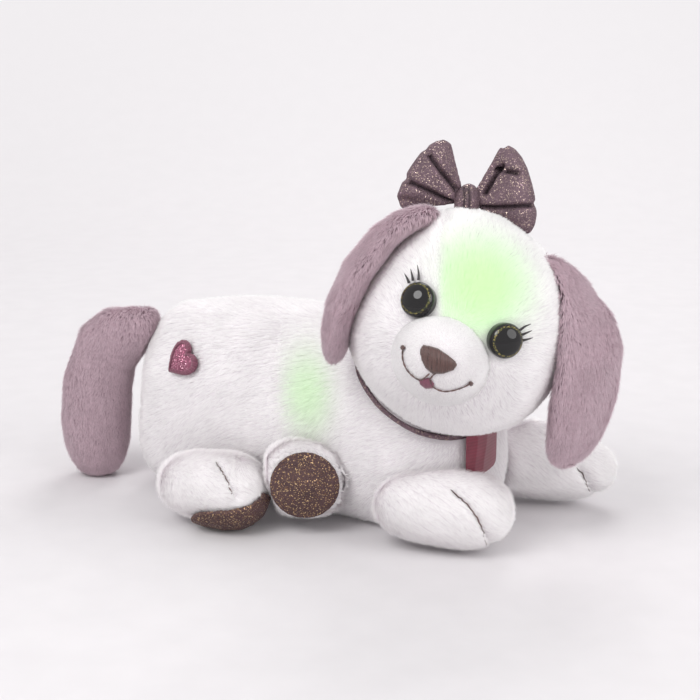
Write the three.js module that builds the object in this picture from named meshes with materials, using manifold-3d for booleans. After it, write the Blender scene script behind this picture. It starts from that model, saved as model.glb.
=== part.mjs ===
// A light-up plush puppy that lies on the floor and looks at the viewer. Millimetres and degrees.
// +Z is up, the floor is Z = 0 and the viewer is at -Y. Left and right are the puppy's own sides.
// The body's own frame has +X towards the chest and +Y towards its left side; the head's own frame
// has -Y out of the face and +Z towards the crown.
import * as THREE from 'three';
import { mergeVertices } from 'three/addons/utils/BufferGeometryUtils.js';
import Module from 'manifold-3d';

const wasm = await Module();
wasm.setup();

// Clearances
const gap = 0.3;
const neckGap = 0.6;
const overrun = 5;
const weldDistance = 0.001;

// Torso
const torsoLength = 230;
const torsoHeight = 121;
const torsoWidth = 108;
const torsoPressed = 6;
const waistShare = 0.09;
const rumpShare = 0.03;
const torsoBluntShare = 3.4;
const bellyBluntShare = 6;
const backRoundShare = 2.3;
const bellyRoundShare = 3.2;
const bodyTurn = -28;

// Head, seen from the chest
const headRadius = 59;
const headAhead = 102.5;
const headAside = -27;
const headHeight = 124;
const headTurn = 23;
const headNod = -13;
const headTilt = 27;
const cheekSwell = 4;
const browDip = 2;

// Muzzle and what is sewn on it
const muzzleWidth = 52;
const muzzleHeight = 47;
const muzzleLength = 62;
const muzzleOut = 46;
const muzzleDrop = 20;
const noseWidth = 17;
const noseHeight = 13;
const noseThick = 1.5;
const tongueWidth = 8.5;
const tongueLength = 7.5;
const tongueDrop = 11;
const tongueThick = 1;

// Eyes with their shanks and lock washers
const eyeDiameter = 18;
const eyeDome = 5.2;
const eyeRim = 0.5;
const eyeRimThick = 1.8;
const eyeSpread = 23.7;
const rightEyeRise = 0.7;
const leftEyeRise = 3.2;
const shankDiameter = 4.4;
const shankLength = 12;
const washerDiameter = 16;
const washerThick = 2;
const washerDepth = 8;

// Ears
const earThick = 15;
const earBluntShare = 3;
const rightEarWidth = 48;
const leftEarWidth = 62;
const earGap = 0.6;

// Bow
const bowLean = 25;
const bowForward = 2;
const bowTilt = -18.5;
const bowRise = 6;
const bowVee = 24;
const knotWidth = 12;
const knotHeight = 19;
const knotDepth = 13;
const rightLoopLength = 36;
const leftLoopLength = 36;
const rightLoopHeight = 46;
const leftLoopHeight = 52;
const loopDepth = 17;
const loopPleat = 1.6;

// Collar and tag
const collarAngle = 43.5;
const collarHeight = 4.6;
const collarThick = 1.5;
const collarSlack = 0.5;
const tagWidth = 19;
const tagLength = 26;
const tagThick = 1.6;
const tagCorner = 4;
const tagRound = 68;

// Tail
const tailWidth = 45;
const tailDepth = 38;
const tailOut = 42;
const tailDrop = 97;
const tailAlongShare = -0.9;
const tailRound = 62;

// Legs: where each lies beside the torso, how long it is and how wide and high its paw is
const pawLift = 0.5;
const rightFront = { length: 79, width: 47, height: 50, start: 63, aside: -54, toeAside: -33 };
const leftFront = { length: 112, width: 44, height: 47, start: 58, aside: 34, toeAside: 66 };
const rightHind = { length: 69, width: 46, height: 47, start: -64, aside: -75, toeAside: -68 };
const leftHind = { length: 58, width: 62, height: 53, start: 0, aside: -14, turn: -62, lift: 5.5 };
const toeBulge = 2.6;
const toeCount = 4;
const soleDiameter = 38;
const soleDrop = 1;
const heelSoleWidth = 28;
const heelSoleLength = 42;
const heelSoleLean = 56.3;
const soleThick = 1.3;

// How far each limb swings from where it lies, for the clearances at its root
const legSwing = 12;
const legTwist = 6;
const tailSwing = 15;
const earLift = 35;
const tagLift = 3;

// Heart patch and the press switch under it
const heartWidth = 20;
const heartHeight = 19;
const heartProud = 1.6;
const heartSunk = 0.5;
const heartTravel = 1.5;
const heartAlongShare = -0.59;
const heartRound = 26;
const heartTilt = 48;
const plungerDiameter = 7;
const plungerLength = 9;
const plungerSunk = 1;
const switchDiameter = 17;
const switchHeight = 8;

// Battery tray, its door and what it holds
const cellDiameter = 10.5;
const cellLength = 44.5;
const cellCount = 3;
const cellPitch = 11.4;
const cellPlay = 0.35;
const nubDiameter = 3.8;
const nubLength = 1;
const contactRoom = 3.2;
const contactThick = 0.5;
const contactHeight = 8;
const trayWall = 2;
const trayEnd = 17;
const trayDepth = 24;
const flangeEdge = 3;
const flangeThick = 1.8;
const traySunk = 0.8;
const doorThick = 2;
const doorEdge = 2.4;
const cornerRadius = 4;
const screwHead = 5.4;
const screwShank = 2.6;
const knobLength = 5;
const knobWidth = 4;
const knobTravel = 3;
const knobSlot = 3;
const knobStep = 1;
const knobFoot = 2;
const boardThick = 1.6;
const boardEdge = 1.5;
const boardRoom = 4.5;

// Lamps and wires
const lampDiameter = 26;
const lampLength = 15;
const lampWall = 1.4;
const ledDiameter = 5;
const lampDepth = 14;
const flankAlongShare = 0.2;
const flankRound = 24;
const browRise = 27;
const wireDiameter = 2.6;
const wirePlay = 0.5;

// How finely the skins are drawn
const torsoRings = 22;
const torsoSides = 28;
const headRings = 18;
const headSides = 28;
const limbRings = 12;
const limbSides = 18;
const smallSides = 16;
const seatSides = 40;
const wireSides = 8;
const wireSteps = 8;
const sweepStep = 6;

const rad = THREE.MathUtils.degToRad;
const at = (x, y, z) => new THREE.Vector3(x, y, z);
const xAxis = at(1, 0, 0);
const yAxis = at(0, 1, 0);
const zAxis = at(0, 0, 1);
const curved = (value, power) => Math.sign(value) * Math.abs(value) ** power;

// Turns the faces outwards when the rings ran the other way round.
function facedOut(geometry) {
  const place = geometry.attributes.position;
  const index = geometry.index.array;
  const corners = [at(0, 0, 0), at(0, 0, 0), at(0, 0, 0)];
  let volume = 0;
  for (let i = 0; i < index.length; i += 3) {
    corners.forEach((corner, k) => corner.fromBufferAttribute(place, index[i + k]));
    volume += corners[0].dot(corners[1].clone().cross(corners[2]));
  }
  if (volume < 0) {
    for (let i = 0; i < index.length; i += 3) {
      [index[i + 1], index[i + 2]] = [index[i + 2], index[i + 1]];
    }
  }
  return geometry;
}

// A closed skin over rings of points, drawn to a single point at each end.
function skin(start, rings, end) {
  const sides = rings[0].length;
  const points = [start, ...rings.flat(), end];
  const last = points.length - 1;
  const lastRing = 1 + (rings.length - 1) * sides;
  const faces = [];
  for (let i = 0; i < sides; i += 1) {
    const next = (i + 1) % sides;
    faces.push(0, 1 + next, 1 + i);
    for (let low = 1; low < lastRing; low += sides) {
      faces.push(low + i, low + next, low + sides + next);
      faces.push(low + i, low + sides + next, low + sides + i);
    }
    faces.push(last, lastRing + i, lastRing + next);
  }
  const geometry = new THREE.BufferGeometry().setFromPoints(points);
  geometry.setIndex(faces);
  return facedOut(geometry);
}

function solidOf(geometry) {
  const bare = geometry.clone();
  for (const name of Object.keys(bare.attributes)) {
    if (name !== 'position') bare.deleteAttribute(name);
  }
  const merged = mergeVertices(bare, weldDistance);
  const mesh = new wasm.Mesh({
    numProp: 3,
    vertProperties: merged.attributes.position.array,
    triVerts: merged.index.array,
  });
  mesh.merge();
  return new wasm.Manifold(mesh);
}

function geometryOf(solid) {
  const { vertProperties, triVerts } = solid.getMesh();
  const geometry = new THREE.BufferGeometry();
  geometry.setAttribute('position', new THREE.BufferAttribute(vertProperties, 3));
  geometry.setIndex(new THREE.BufferAttribute(triVerts, 1));
  return geometry;
}

function carved(geometry, tools) {
  return geometryOf(tools.reduce((rest, tool) => rest.subtract(solidOf(tool)), solidOf(geometry)));
}

function joined(geometries) {
  return geometryOf(geometries.map(solidOf).reduce((sum, one) => sum.add(one)));
}

function common(geometry, other) {
  return geometryOf(solidOf(geometry).intersect(solidOf(other)));
}

function placed(geometry, matrix) {
  return geometry.clone().applyMatrix4(matrix);
}

// A frame at a point whose Z runs along one direction and whose Y leans towards another.
function frameAt(origin, outward, towards) {
  const z = outward.clone().normalize();
  const x = towards.clone().cross(z).normalize();
  const y = z.clone().cross(x);
  return new THREE.Matrix4().makeBasis(x, y, z).setPosition(origin);
}

// A turned solid: pairs of radius and height that start and end on the axis or close on themselves.
function turned(profile, sides = smallSides) {
  const outline = profile.map(([radius, height]) => new THREE.Vector2(radius, height));
  const lathe = new THREE.LatheGeometry(outline, sides);
  lathe.rotateX(rad(90));
  return facedOut(mergedOnly(lathe));
}

function mergedOnly(geometry) {
  geometry.deleteAttribute('normal');
  geometry.deleteAttribute('uv');
  return mergeVertices(geometry, weldDistance);
}

function pin(diameter, low, high, sides = smallSides) {
  return turned([[0, low], [diameter / 2, low], [diameter / 2, high], [0, high]], sides);
}

function block(width, depth, low, high) {
  const box = new THREE.BoxGeometry(width, depth, high - low);
  return box.translate(0, 0, (low + high) / 2);
}

function roundedPlate(width, depth, radius, low, high) {
  const x = width / 2;
  const y = depth / 2;
  const outline = new THREE.Shape();
  outline.absarc(x - radius, y - radius, radius, 0, rad(90));
  outline.absarc(radius - x, y - radius, radius, rad(90), rad(180));
  outline.absarc(radius - x, radius - y, radius, rad(180), rad(270));
  outline.absarc(x - radius, radius - y, radius, rad(270), rad(360));
  return upright(outline, low, high, 4);
}

function upright(outline, low, high, curveSegments) {
  const plate = new THREE.ExtrudeGeometry(outline, { depth: high - low, bevelEnabled: false, curveSegments });
  return facedOut(mergedOnly(plate.translate(0, 0, low)));
}

// A tube through a row of centres
function tube(centres, diameter) {
  const last = centres.length - 1;
  const rings = centres.map((centre, i) => {
    const way = centres[Math.min(last, i + 1)].clone().sub(centres[Math.max(0, i - 1)]);
    const frame = frameAt(centre, way, xAxis);
    const ring = [];
    for (let k = 0; k < wireSides; k += 1) {
      const round = (2 * Math.PI * k) / wireSides;
      ring.push(at(Math.cos(round), Math.sin(round), 0).multiplyScalar(diameter / 2).applyMatrix4(frame));
    }
    return ring;
  });
  return skin(centres[0], rings, centres[last]);
}

// The value at a share of the way through a table of pairs.
function between(table, share) {
  const next = Math.max(1, table.findIndex(([place]) => place >= share));
  const [from, low] = table[next - 1];
  const [to, high] = table[next];
  return THREE.MathUtils.lerp(low, high, (share - from) / (to - from));
}

// A stuffed limb along a curve: it swells by a table of shares and closes round at both ends.
function stuffed({ spine, width, height, swellShares, blunt, lean, grow = 0, shape = () => 1 }) {
  const rings = [];
  for (let i = 1; i < limbRings; i += 1) {
    const turn = (Math.PI * i) / limbRings;
    const along = -curved(Math.cos(turn), 2 / blunt);
    const share = (1 + along) / 2;
    const full = Math.sin(turn) ** (2 / blunt) * between(swellShares, share);
    const centre = spine.getPointAt(share);
    const forward = spine.getTangentAt(share);
    const side = lean.clone().cross(forward).normalize();
    const up = forward.clone().cross(side);
    const ring = [];
    for (let k = 0; k < limbSides; k += 1) {
      const round = (2 * Math.PI * k) / limbSides;
      const bulge = full * shape(share, round);
      const across = side.clone().multiplyScalar(Math.cos(round) * ((width / 2) * bulge + grow));
      const over = up.clone().multiplyScalar(Math.sin(round) * ((height / 2) * bulge + grow));
      ring.push(centre.clone().add(across).add(over));
    }
    rings.push(ring);
  }
  const start = spine.getPointAt(0).sub(spine.getTangentAt(0).multiplyScalar(grow));
  const end = spine.getPointAt(1).add(spine.getTangentAt(1).multiplyScalar(grow));
  return skin(start, rings, end);
}

// Copies of a neighbour where it stands, seen from a piece that swings about a pivot.
function swept(geometry, pivot, axis, from, to) {
  const copies = [];
  const steps = Math.ceil(Math.abs(to - from) / sweepStep);
  for (let step = 0; step <= steps; step += 1) {
    const angle = THREE.MathUtils.lerp(from, to, step / steps);
    const swing = new THREE.Matrix4().makeTranslation(pivot)
      .multiply(new THREE.Matrix4().makeRotationAxis(axis, rad(-angle)))
      .multiply(new THREE.Matrix4().makeTranslation(pivot.clone().negate()));
    copies.push(placed(geometry, swing));
  }
  return copies;
}

// A point on the torso: share runs from -1 at the rump to 1 at the chest, and the angle goes round
// the side from 0 at the puppy's right through 90 at the back of the top.
function torsoPoint(share, angle, grow = 0) {
  const blunt = THREE.MathUtils.lerp(torsoBluntShare, bellyBluntShare, Math.max(0, -Math.sin(angle)));
  const end = (1 - Math.abs(share) ** blunt) ** (1 / blunt);
  const drawn = 1 - waistShare * (1 - share ** 2) - rumpShare * share;
  const half = (torsoHeight + torsoPressed) / 2;
  const fullness = Math.sin(angle) < 0 ? bellyRoundShare : backRoundShare;
  const y = -curved(Math.cos(angle), 2 / fullness) * ((torsoWidth / 2) * drawn * end + grow);
  const z = curved(Math.sin(angle), 2 / fullness) * (half * end + grow);
  return at(share * (torsoLength / 2 + grow), y, half - torsoPressed + z);
}

function torsoSkin(grow) {
  const rings = [];
  for (let i = 1; i < torsoRings; i += 1) {
    const share = -curved(Math.cos((Math.PI * i) / torsoRings), 2 / torsoBluntShare);
    const ring = [];
    for (let k = 0; k < torsoSides; k += 1) {
      ring.push(torsoPoint(share, (2 * Math.PI * k) / torsoSides, grow));
    }
    rings.push(ring);
  }
  return skin(torsoPoint(-1, 0, grow), rings, torsoPoint(1, 0, grow));
}

// A frame on the torso's skin with Z pointing out of it and Y up it.
function torsoFrame(share, angle) {
  const step = 0.01;
  const here = torsoPoint(share, angle);
  const ahead = torsoPoint(share + step, angle).sub(torsoPoint(share - step, angle));
  const round = torsoPoint(share, angle + step).sub(torsoPoint(share, angle - step));
  return frameAt(here, ahead.cross(round), round);
}

// Head: where it sits on the chest
const headCentre = at(headAhead, headAside, headHeight);
const headMatrix = new THREE.Matrix4().makeRotationFromEuler(
  new THREE.Euler(rad(headNod), rad(headTilt), rad(headTurn), 'ZXY'),
).setPosition(headCentre);
const chestCentre = at(torsoLength / 2 - torsoHeight / 2, 0, torsoHeight / 2);
const neckAxis = headCentre.clone().sub(chestCentre).normalize();
const neckInHead = neckAxis.clone().transformDirection(headMatrix.clone().invert());

// The head's skin: a ball with cheeks that swell beside the muzzle and a dip between brow and muzzle.
function headSkin(grow = 0) {
  const cheeks = [at(-0.75, -0.48, -0.46), at(0.75, -0.48, -0.46)];
  const brow = at(0, -0.97, 0.1);
  const bump = (way, centre, spread) => Math.exp(-way.distanceToSquared(centre) / spread);
  const rings = [];
  const out = (way) => {
    const swell = cheeks.reduce((sum, cheek) => sum + cheekSwell * bump(way, cheek, 0.16), 0);
    return way.clone().multiplyScalar(headRadius + grow + swell - browDip * bump(way, brow, 0.1));
  };
  for (let i = 1; i < headRings; i += 1) {
    const fall = (Math.PI * i) / headRings;
    const ring = [];
    for (let k = 0; k < headSides; k += 1) {
      const round = (2 * Math.PI * k) / headSides;
      const level = Math.sin(fall);
      ring.push(out(at(Math.cos(round) * level, Math.sin(round) * level, Math.cos(fall))));
    }
    rings.push(ring);
  }
  return skin(out(at(0, 0, 1)), rings, out(at(0, 0, -1)));
}

function ball(radius, centre) {
  return facedOut(mergedOnly(new THREE.SphereGeometry(radius, seatSides, seatSides / 2)))
    .translate(centre.x, centre.y, centre.z);
}

// Eyes
function eyeFrame(side) {
  const rise = side < 0 ? rightEyeRise : leftEyeRise;
  const out = Math.sqrt(headRadius ** 2 - eyeSpread ** 2 - rise ** 2);
  const seat = at(side * eyeSpread, -out, rise);
  return frameAt(seat, seat, zAxis);
}

function eyeProfile(grow) {
  const radius = eyeDiameter / 2 + grow;
  const dome = [];
  const steps = 5;
  for (let i = 0; i <= steps; i += 1) {
    const rise = (Math.PI / 2) * (i / steps);
    dome.push([radius * Math.cos(rise), (eyeDome + grow) * Math.sin(rise)]);
  }
  dome[steps][0] = 0;
  return [
    [0, -shankLength - grow],
    [shankDiameter / 2 + grow, -shankLength - grow],
    [shankDiameter / 2 + grow, -eyeRimThick - grow],
    [radius + eyeRim, -eyeRimThick - grow],
    [radius + eyeRim, 0],
    ...dome,
  ];
}

function washerProfile(grow) {
  const inner = shankDiameter / 2 + gap - grow;
  const outer = washerDiameter / 2 + grow;
  const top = -washerDepth + grow;
  const low = -washerDepth - washerThick - grow;
  return [[inner, low], [outer, low], [outer, top], [inner, top], [inner, low]];
}

function eyeTools(side) {
  const frame = eyeFrame(side);
  return [turned(eyeProfile(gap), 20), turned(washerProfile(gap + gap))].map((one) => placed(one, frame));
}

// Muzzle: an egg lying along the way the face looks
function muzzleSkin(grow = 0) {
  const egg = facedOut(mergedOnly(new THREE.SphereGeometry(1, 20, 16)));
  egg.scale(muzzleWidth / 2 + grow, muzzleLength / 2 + grow, muzzleHeight / 2 + grow);
  return egg.translate(0, -muzzleOut, -muzzleDrop);
}

// A patch that follows a skin: what an upright outline cuts out of the space between two of its offsets.
function patch(outer, inner, prism) {
  return carved(common(outer, prism), [inner]);
}

function noseOutline(width, height) {
  const outline = new THREE.Shape();
  outline.moveTo(0, -height / 2);
  outline.bezierCurveTo(width * 0.24, -height / 2, width / 2, height * 0.04, width / 2, height * 0.26);
  outline.bezierCurveTo(width / 2, height / 2, width * 0.3, height / 2, 0, height / 2);
  outline.bezierCurveTo(-width * 0.3, height / 2, -width / 2, height / 2, -width / 2, height * 0.26);
  outline.bezierCurveTo(-width / 2, height * 0.04, -width * 0.24, -height / 2, 0, -height / 2);
  return outline;
}

function tongueOutline() {
  const outline = new THREE.Shape();
  outline.moveTo(-tongueWidth / 2, 0);
  outline.quadraticCurveTo(-tongueWidth / 2, -tongueLength, 0, -tongueLength);
  outline.quadraticCurveTo(tongueWidth / 2, -tongueLength, tongueWidth / 2, 0);
  outline.quadraticCurveTo(0, -tongueLength / 4, -tongueWidth / 2, 0);
  return outline;
}

// A frame in front of the muzzle that looks out of the face, with Y towards the crown.
const faceFrame = frameAt(at(0, -muzzleOut, -muzzleDrop), at(0, -1, 0), zAxis);

// Ears: places as shares of the head's radius, from the root at the crown to the tip
const rightEarShares = [
  [-0.66, -0.34, 0.78], [-0.87, -0.38, 0.55], [-0.99, -0.41, 0.23], [-1.02, -0.39, -0.14],
  [-0.99, -0.34, -0.4], [-0.92, -0.26, -0.63], [-0.86, -0.21, -0.81],
];
const leftEarShares = [
  [0.33, -0.24, 0.96], [0.61, -0.24, 0.84], [0.88, -0.23, 0.66], [1.12, -0.18, 0.38],
  [1.27, -0.1, 0.01], [1.38, 0, -0.33], [1.45, 0.1, -0.66],
];
const rightEarSwellShares = [[0, 0.8], [0.3, 0.85], [0.65, 1], [1, 0.95]];
const leftEarSwellShares = [[0, 0.5], [0.3, 0.72], [0.6, 1], [1, 0.95]];
const rightEar = {
  side: -1, shares: rightEarShares, swellShares: rightEarSwellShares, width: rightEarWidth,
  flat: at(-0.97, -0.17, 0.17).normalize(),
};
const leftEar = {
  side: 1, shares: leftEarShares, swellShares: leftEarSwellShares, width: leftEarWidth,
  flat: at(0.78, -0.57, 0.25).normalize(),
};

function earSpine(which) {
  return new THREE.CatmullRomCurve3(which.shares.map(([x, y, z]) => at(x, y, z).multiplyScalar(headRadius)));
}

// Each ear lifts sideways about the seam at its root.
function earHinge(which) {
  return { pivot: earSpine(which).getPointAt(0), axis: at(0, -which.side, 0) };
}

function earSkin(which, grow = 0) {
  return stuffed({
    spine: earSpine(which), width: which.width, height: earThick, swellShares: which.swellShares,
    blunt: earBluntShare, lean: which.flat, grow,
  });
}

function ear(which) {
  const { pivot, axis } = earHinge(which);
  return carved(earSkin(which), swept(headSkin(earGap), pivot, axis, 0, earLift));
}

// What an ear passes through as it lifts, with room round it
function earRoom(which) {
  const { pivot, axis } = earHinge(which);
  return swept(earSkin(which, 2 * gap), pivot, axis, 0, -earLift);
}

// Bow: two pleated loops and the knot between them, standing beside the crown
const bowMatrix = (() => {
  const out = at(-Math.sin(rad(bowLean)), -Math.sin(rad(bowForward)), Math.cos(rad(bowLean)));
  const turn = new THREE.Matrix4().makeRotationY(rad(bowTilt));
  return turn.setPosition(out.multiplyScalar(headRadius + bowRise));
})();

function knotSkin(grow = 0) {
  const knot = facedOut(mergedOnly(new THREE.SphereGeometry(1, 13, 11)));
  return knot.scale(knotWidth / 2 + grow, knotDepth / 2 + grow, knotHeight / 2 + grow);
}

function loop(side, length, height) {
  const rise = rad(bowVee);
  const forward = at(side * Math.cos(rise), 0, Math.sin(rise));
  const spine = new THREE.LineCurve3(at(0, 0, 0), forward.multiplyScalar(length));
  const fanShares = [[0, 0.12], [0.1, 0.2], [0.3, 0.43], [0.5, 0.7], [0.72, 1.06], [1, 1.1]];
  const pleats = (share, round) => 1 - (loopPleat / loopDepth) * (1 - share) * (1 + Math.cos(6 * round));
  const fan = stuffed({
    spine, width: loopDepth, height, swellShares: fanShares, blunt: 2.6, lean: zAxis, shape: pleats,
  });
  return placed(carved(fan, [knotSkin(gap)]), bowMatrix);
}

// Collar: a band round the neck, just off the head's ball
function collarBand(grow) {
  const inner = headRadius + neckGap + collarSlack - grow;
  const outer = headRadius + neckGap + collarSlack + collarThick + grow;
  const middle = rad(collarAngle);
  const half = (collarHeight / 2 + grow) / headRadius;
  const corner = (radius, angle) => [radius * Math.sin(angle), -radius * Math.cos(angle)];
  const profile = [
    corner(inner, middle - half), corner(outer, middle - half),
    corner(outer, middle + half), corner(inner, middle + half), corner(inner, middle - half),
  ];
  return placed(turned(profile, seatSides), frameAt(headCentre, neckAxis, zAxis));
}

// The tag hangs from the front of the collar and lies on the chest.
const tagFrame = (() => {
  const neck = frameAt(headCentre, neckAxis, zAxis);
  const radius = headRadius + neckGap + collarSlack;
  const fall = rad(collarAngle);
  const round = rad(tagRound);
  const place = at(radius * Math.sin(fall) * Math.cos(round), -radius * Math.sin(fall) * Math.sin(round),
    -radius * Math.cos(fall));
  const towardsViewer = at(-Math.sin(rad(bodyTurn)), -Math.cos(rad(bodyTurn)), 0);
  return frameAt(place.applyMatrix4(neck), towardsViewer, zAxis);
})();

// The tag's ribbon, with room round it where it is cut out of something
function tagRibbon(room = 0) {
  const outline = new THREE.Shape();
  const half = tagWidth / 2 + room;
  const low = -tagLength - room;
  outline.moveTo(-half, room);
  outline.lineTo(-half, low + tagCorner);
  outline.quadraticCurveTo(-half, low, tagCorner - half, low);
  outline.lineTo(half - tagCorner, low);
  outline.quadraticCurveTo(half, low, half, low + tagCorner);
  outline.lineTo(half, room);
  const prism = placed(upright(outline, -tagLength, tagLength, 3), tagFrame);
  return patch(torsoSkin(gap + tagThick + room), torsoSkin(gap - room), prism);
}

function tag() {
  return carved(tagRibbon(), [collarBand(gap), ball(headRadius + neckGap + collarSlack + collarThick, headCentre)]);
}

// The tag lifts off the chest about its top edge.
function tagHinge() {
  return { pivot: at(0, 0, 0).applyMatrix4(tagFrame), axis: xAxis.clone().transformDirection(tagFrame).negate() };
}

// Legs: loaves that lie beside the torso and are cut by it
function legSpine(leg) {
  const z = pawLift + leg.height / 2;
  const span = Math.sqrt(leg.length ** 2 - (leg.toeAside - leg.aside) ** 2);
  const heel = at(leg.start, leg.aside, z);
  const middle = at(leg.start + span / 2, (leg.aside + leg.toeAside) / 2, z);
  return new THREE.CatmullRomCurve3([heel, middle, at(leg.start + span, leg.toeAside, z)]);
}

// A side leg swings outwards about its root, level with the floor.
function legHinge(leg) {
  const pivot = at(leg.start + leg.height / 2, leg.aside, pawLift + leg.height / 2);
  return { pivot, axis: zAxis.clone().multiplyScalar(Math.sign(leg.aside)) };
}

function legSkin(leg, grow = 0) {
  const swellShares = [[0, 0.86], [0.4, 0.9], [0.75, 1], [1, 0.95]];
  return stuffed({
    spine: legSpine(leg), width: leg.width, height: leg.height, swellShares, blunt: 2.5, lean: zAxis, grow,
  });
}

function sideLeg(leg, rooms = []) {
  const { pivot, axis } = legHinge(leg);
  const cuts = [torsoSkin(gap), ...rooms].flatMap((one) => swept(one, pivot, axis, 0, legSwing));
  return carved(legSkin(leg), cuts);
}

function tagRooms() {
  const { pivot, axis } = tagHinge();
  return swept(tagRibbon(2 * gap), pivot, axis, 0, -tagLift);
}

// The left hind leg comes out from under the belly and shows its sole to the viewer.
function shownAxis() {
  return at(Math.cos(rad(leftHind.turn)), Math.sin(rad(leftHind.turn)), 0);
}

function shownSpine() {
  const root = at(leftHind.start, leftHind.aside, leftHind.lift + leftHind.height / 2);
  return new THREE.LineCurve3(root, root.clone().addScaledVector(shownAxis(), leftHind.length));
}

function shownLegSkin(grow = 0) {
  const swellShares = [[0, 0.8], [0.5, 0.88], [0.85, 1], [1, 1]];
  const toes = (share, round) => {
    const near = THREE.MathUtils.smoothstep(share, 0.7, 0.95);
    const fan = Math.max(0, Math.cos(round - Math.PI / 5));
    const wave = Math.abs(Math.sin(toeCount * (round - Math.PI / 5)));
    return 1 + (toeBulge / leftHind.width) * near * fan * wave;
  };
  return stuffed({
    spine: shownSpine(), width: leftHind.width, height: leftHind.height, swellShares, blunt: 3.6,
    lean: zAxis, grow, shape: toes,
  });
}

// What the shown paw has to clear: the torso, and the other hind leg in every place that it swings to
function shownCuts() {
  const root = shownSpine().getPoint(0);
  const { pivot, axis } = legHinge(rightHind);
  const neighbours = swept(legSkin(rightHind, 2 * gap + soleThick), pivot, axis, 0, legSwing);
  return [torsoSkin(gap), ...neighbours].flatMap((one) => swept(one, root, shownAxis(), -legTwist, legTwist));
}

function shownLeg() {
  return carved(shownLegSkin(), shownCuts());
}

function shownSole() {
  const spine = shownSpine();
  const frame = frameAt(spine.getPoint(0.5).addScaledVector(zAxis, -soleDrop), shownAxis(), zAxis);
  const prism = placed(pin(soleDiameter, 0, leftHind.length, 24), frame);
  return carved(patch(shownLegSkin(soleThick + gap), shownLegSkin(gap), prism), shownCuts());
}

// The right hind foot stands on its sole, which curls up to show at the toes.
function heelSole() {
  const spine = legSpine(rightHind);
  const toe = spine.getPointAt(0.72);
  const oval = new THREE.Shape();
  oval.absellipse(0, 0, heelSoleLength / 2, heelSoleWidth / 2, 0, rad(360));
  const prism = upright(oval, 0, rightHind.height, 10);
  const lean = at(0, -Math.cos(rad(heelSoleLean)), -Math.sin(rad(heelSoleLean)));
  const frame = frameAt(toe, lean, spine.getTangentAt(0.72).cross(lean).negate());
  return patch(legSkin(rightHind, soleThick + gap), legSkin(rightHind, gap), placed(prism, frame));
}

// Tail: out of the rump, over and down to the floor
const tailRoot = torsoPoint(tailAlongShare, rad(tailRound));
const tailSpineShares = [[0, 0], [0.42, 0.02], [0.82, 0.17], [1, 0.52], [1, 1]];

function tailSpine() {
  const outward = at(-Math.cos(rad(bodyTurn / 2)), Math.sin(rad(bodyTurn / 2)), 0);
  return new THREE.CatmullRomCurve3(tailSpineShares.map(([out, drop]) => {
    const place = tailRoot.clone().addScaledVector(outward, out * tailOut);
    return place.addScaledVector(zAxis, -drop * tailDrop);
  }));
}

function tail() {
  const skinned = stuffed({
    spine: tailSpine(), width: tailWidth, height: tailDepth,
    swellShares: [[0, 0.92], [0.4, 0.92], [0.8, 1], [1, 0.98]], blunt: 3, lean: at(0.4, -1, 0),
  });
  return carved(skinned, swept(torsoSkin(gap), tailRoot, zAxis, -tailSwing, tailSwing));
}

// Heart patch and press switch, along the line out of the hip
const heartFrame = torsoFrame(heartAlongShare, rad(heartRound))
  .multiply(new THREE.Matrix4().makeRotationZ(rad(-heartTilt)));

function heartOutline(margin) {
  const w = heartWidth / 2 + margin;
  const h = heartHeight / 2 + margin;
  const outline = new THREE.Shape();
  outline.moveTo(0, -h);
  outline.bezierCurveTo(w * 0.5, -h * 0.45, w, -h * 0.1, w, h * 0.4);
  outline.bezierCurveTo(w, h * 1.05, w * 0.2, h * 1.2, 0, h * 0.55);
  outline.bezierCurveTo(-w * 0.2, h * 1.2, -w, h * 1.05, -w, h * 0.4);
  outline.bezierCurveTo(-w, -h * 0.1, -w * 0.5, -h * 0.45, 0, -h);
  return outline;
}

function heartPrism(margin) {
  return placed(upright(heartOutline(margin), -heartHeight, heartHeight, 6), heartFrame);
}

function heartPatch() {
  return patch(torsoSkin(heartProud), torsoSkin(-heartSunk), heartPrism(0));
}

const heartFloor = heartSunk + heartTravel + gap;
const plungerTop = -heartSunk - gap - plungerSunk;
const switchTop = plungerTop - plungerLength / 2;

function heartPocket() {
  return carved(heartPrism(gap), [torsoSkin(-heartFloor)]);
}

function plunger() {
  return placed(pin(plungerDiameter, plungerTop - plungerLength, plungerTop), heartFrame);
}

function switchHousing() {
  const inner = plungerDiameter / 2 + gap;
  const outer = switchDiameter / 2;
  const floor = switchTop - switchHeight - heartTravel;
  const well = plungerTop - plungerLength - heartTravel - gap;
  const profile = [[0, floor], [outer, floor], [outer, switchTop], [inner, switchTop], [inner, well], [0, well]];
  return placed(turned(profile, 20), heartFrame);
}

function switchRoom() {
  const floor = switchTop - switchHeight - heartTravel - gap;
  const room = pin(switchDiameter + 2 * gap, floor, switchTop + gap, 20);
  const hole = pin(plungerDiameter + 2 * gap, switchTop, heartHeight);
  return placed(joined([room, hole]), heartFrame);
}

// Battery tray, in the middle of the belly
const bayLength = cellLength + nubLength + 2 * contactRoom;
const bayWidth = cellCount * cellPitch;
const trayLength = bayLength + trayEnd + 2 * trayWall;
const trayWidth = bayWidth + 2 * trayWall;
const flangeLength = trayLength + 2 * flangeEdge;
const flangeWidth = trayWidth + 2 * flangeEdge;
const flangeTop = traySunk + flangeThick;
const trayTop = traySunk + trayDepth;
const bayCentre = trayEnd / 2;
const doorFloor = traySunk + doorThick;
const cellHeight = doorFloor + gap + cellDiameter / 2 + cellPlay;
const switchPlace = -trayLength / 2 + trayEnd / 2;
const screwPlace = bayCentre + bayLength / 2 - screwHead;
const boardFloor = trayTop - boardRoom;

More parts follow.
